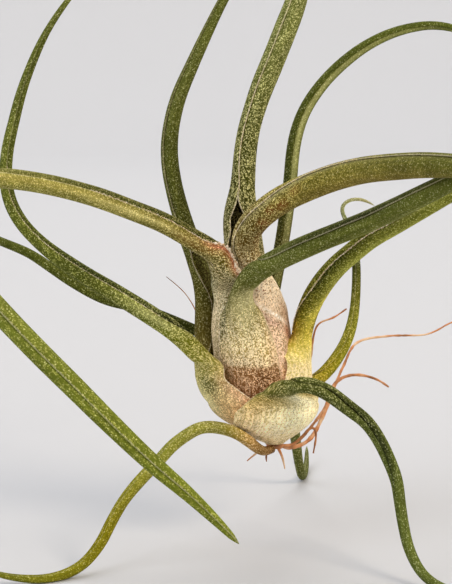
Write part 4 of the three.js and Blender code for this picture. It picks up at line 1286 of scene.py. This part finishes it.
def buildStem():
    points = []
    rounds, up = stem["roughFine"]
    for height in np.linspace(stem["bottom"], stem["top"], stem["rings"]):
        radius = bulb["stemRadius"] - bulb["stemTaper"] * height
        radius *= min(1, stem["end"] + stem["widen"] * (height - stem["bottom"]))
        for turn in np.arange(stem["sides"]) / stem["sides"] * 2 * math.pi:
            x, y = math.cos(turn), math.sin(turn)
            rough = noise.noise(Vector((x * rounds, y * rounds, height * up)))
            r = radius - stem["rough"] + stem["rough"] * rough
            points.append(axisAt(height) + np.array([r * x, r * y, 0]))
    count, sides = stem["rings"], stem["sides"]
    faces = ringFaces(count, sides)
    faces.append(tuple(range(sides))[::-1])
    faces.append(tuple(range((count - 1) * sides, count * sides)))
    return meshObject("stemStub", (np.array(points) + plantPlace) * mm, faces, rootMaterial)


stemPiece = buildStem()
for piece in (rootPiece, stemPiece):
    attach(piece, "root")
    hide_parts("stem_and_roots")
print("stem and roots made")

# A plain pale floor that rises into a wall all round, out of the cameras' way, in metres.
stage = {
    "flat": 1.6,
    "curve": 1.0,
    "wall": 0.6,
    "below": 0.0002,
    "sides": 96,
    "steps": 24,
    "colour": "bfbfc1",
    "roughness": 0.9,
}


def buildFloor():
    material, tree = startMaterial("Pale matt floor")
    endMaterial(tree, {"Base Color": toLinear(stage["colour"]) + [1], "Roughness": stage["roughness"]})
    profile = [(0.001, 0), (0.3, 0), (stage["flat"], 0)]
    for i in range(1, stage["steps"] + 1):
        angle = i / stage["steps"] * math.pi / 2
        rise = stage["curve"] * (1 - math.cos(angle))
        profile.append((stage["flat"] + stage["curve"] * math.sin(angle), rise))
    profile.append((stage["flat"] + stage["curve"], stage["curve"] + stage["wall"]))
    sides = stage["sides"]
    points = [(r * math.cos(a), r * math.sin(a), z - stage["below"]) for r, z in profile
              for a in np.arange(sides) / sides * 2 * math.pi]
    # Turned over, so that they face up.
    faces = [face[:1] + face[:0:-1] for face in ringFaces(len(profile), sides)]
    faces.append(tuple(range(sides)))
    return meshObject("floor", points, faces, material)


buildFloor()

# Plain soft studio light: a pale surround and three large panels.
light = {
    "surround": "f6f6f6",
    "surroundStrength": 0.73,
    "aim": (0, 0, 0.06),
    "panels": [
        {"place": (1.9, -1.7, 1.7), "size": 1.1, "power": 80, "colour": "fff0da"},
        {"place": (-1.8, -1.2, 1.8), "size": 1.8, "power": 34, "colour": "f2f6ff"},
        {"place": (0, 1.6, 2.2), "size": 1.8, "power": 30, "colour": "ffffff"},
    ],
}
world = bpy.data.worlds.new("Studio")
world.use_nodes = True
surround = world.node_tree.nodes["Background"]
surround.inputs["Color"].default_value = toLinear(light["surround"]) + [1]
surround.inputs["Strength"].default_value = light["surroundStrength"]
bpy.context.scene.world = world
bpy.context.scene.view_settings.view_transform = "Standard"
for i, panel in enumerate(light["panels"]):
    lamp = bpy.data.lights.new(f"panel{i}", "AREA")
    lamp.size = panel["size"]
    lamp.energy = panel["power"]
    lamp.color = toLinear(panel["colour"])
    lampObject = bpy.data.objects.new(f"panel{i}", lamp)
    lampObject.location = panel["place"]
    aim = Vector(light["aim"]) - lampObject.location
    lampObject.rotation_euler = aim.to_track_quat("-Z", "Y").to_euler()
    bpy.context.collection.objects.link(lampObject)

# The camera stands where the photograph was taken from, a little above the plant.
view = {
    "target": (0.0068, 0.01879, 0.05479),
    "distance": 0.33,
    "elevation": 8,
    "mmPerPixel": 0.215,
    "pixelsHigh": 584,
    "sensor": 36,
    "clip": (0.01, 20),
}
camera = bpy.data.cameras.new("camera")
camera.sensor_width = view["sensor"]
camera.lens = view["sensor"] * view["distance"] / mm / view["mmPerPixel"] / view["pixelsHigh"]
camera.clip_start, camera.clip_end = view["clip"]
cameraObject = bpy.data.objects.new("camera", camera)
rise = math.radians(view["elevation"])
back = Vector((0, -math.cos(rise), math.sin(rise)))
cameraObject.location = Vector(view["target"]) + back * view["distance"]
cameraObject.rotation_euler = (-back).to_track_quat("-Z", "Y").to_euler()
bpy.context.collection.objects.link(cameraObject)
bpy.context.scene.camera = cameraObject
print("stage, light and camera made")
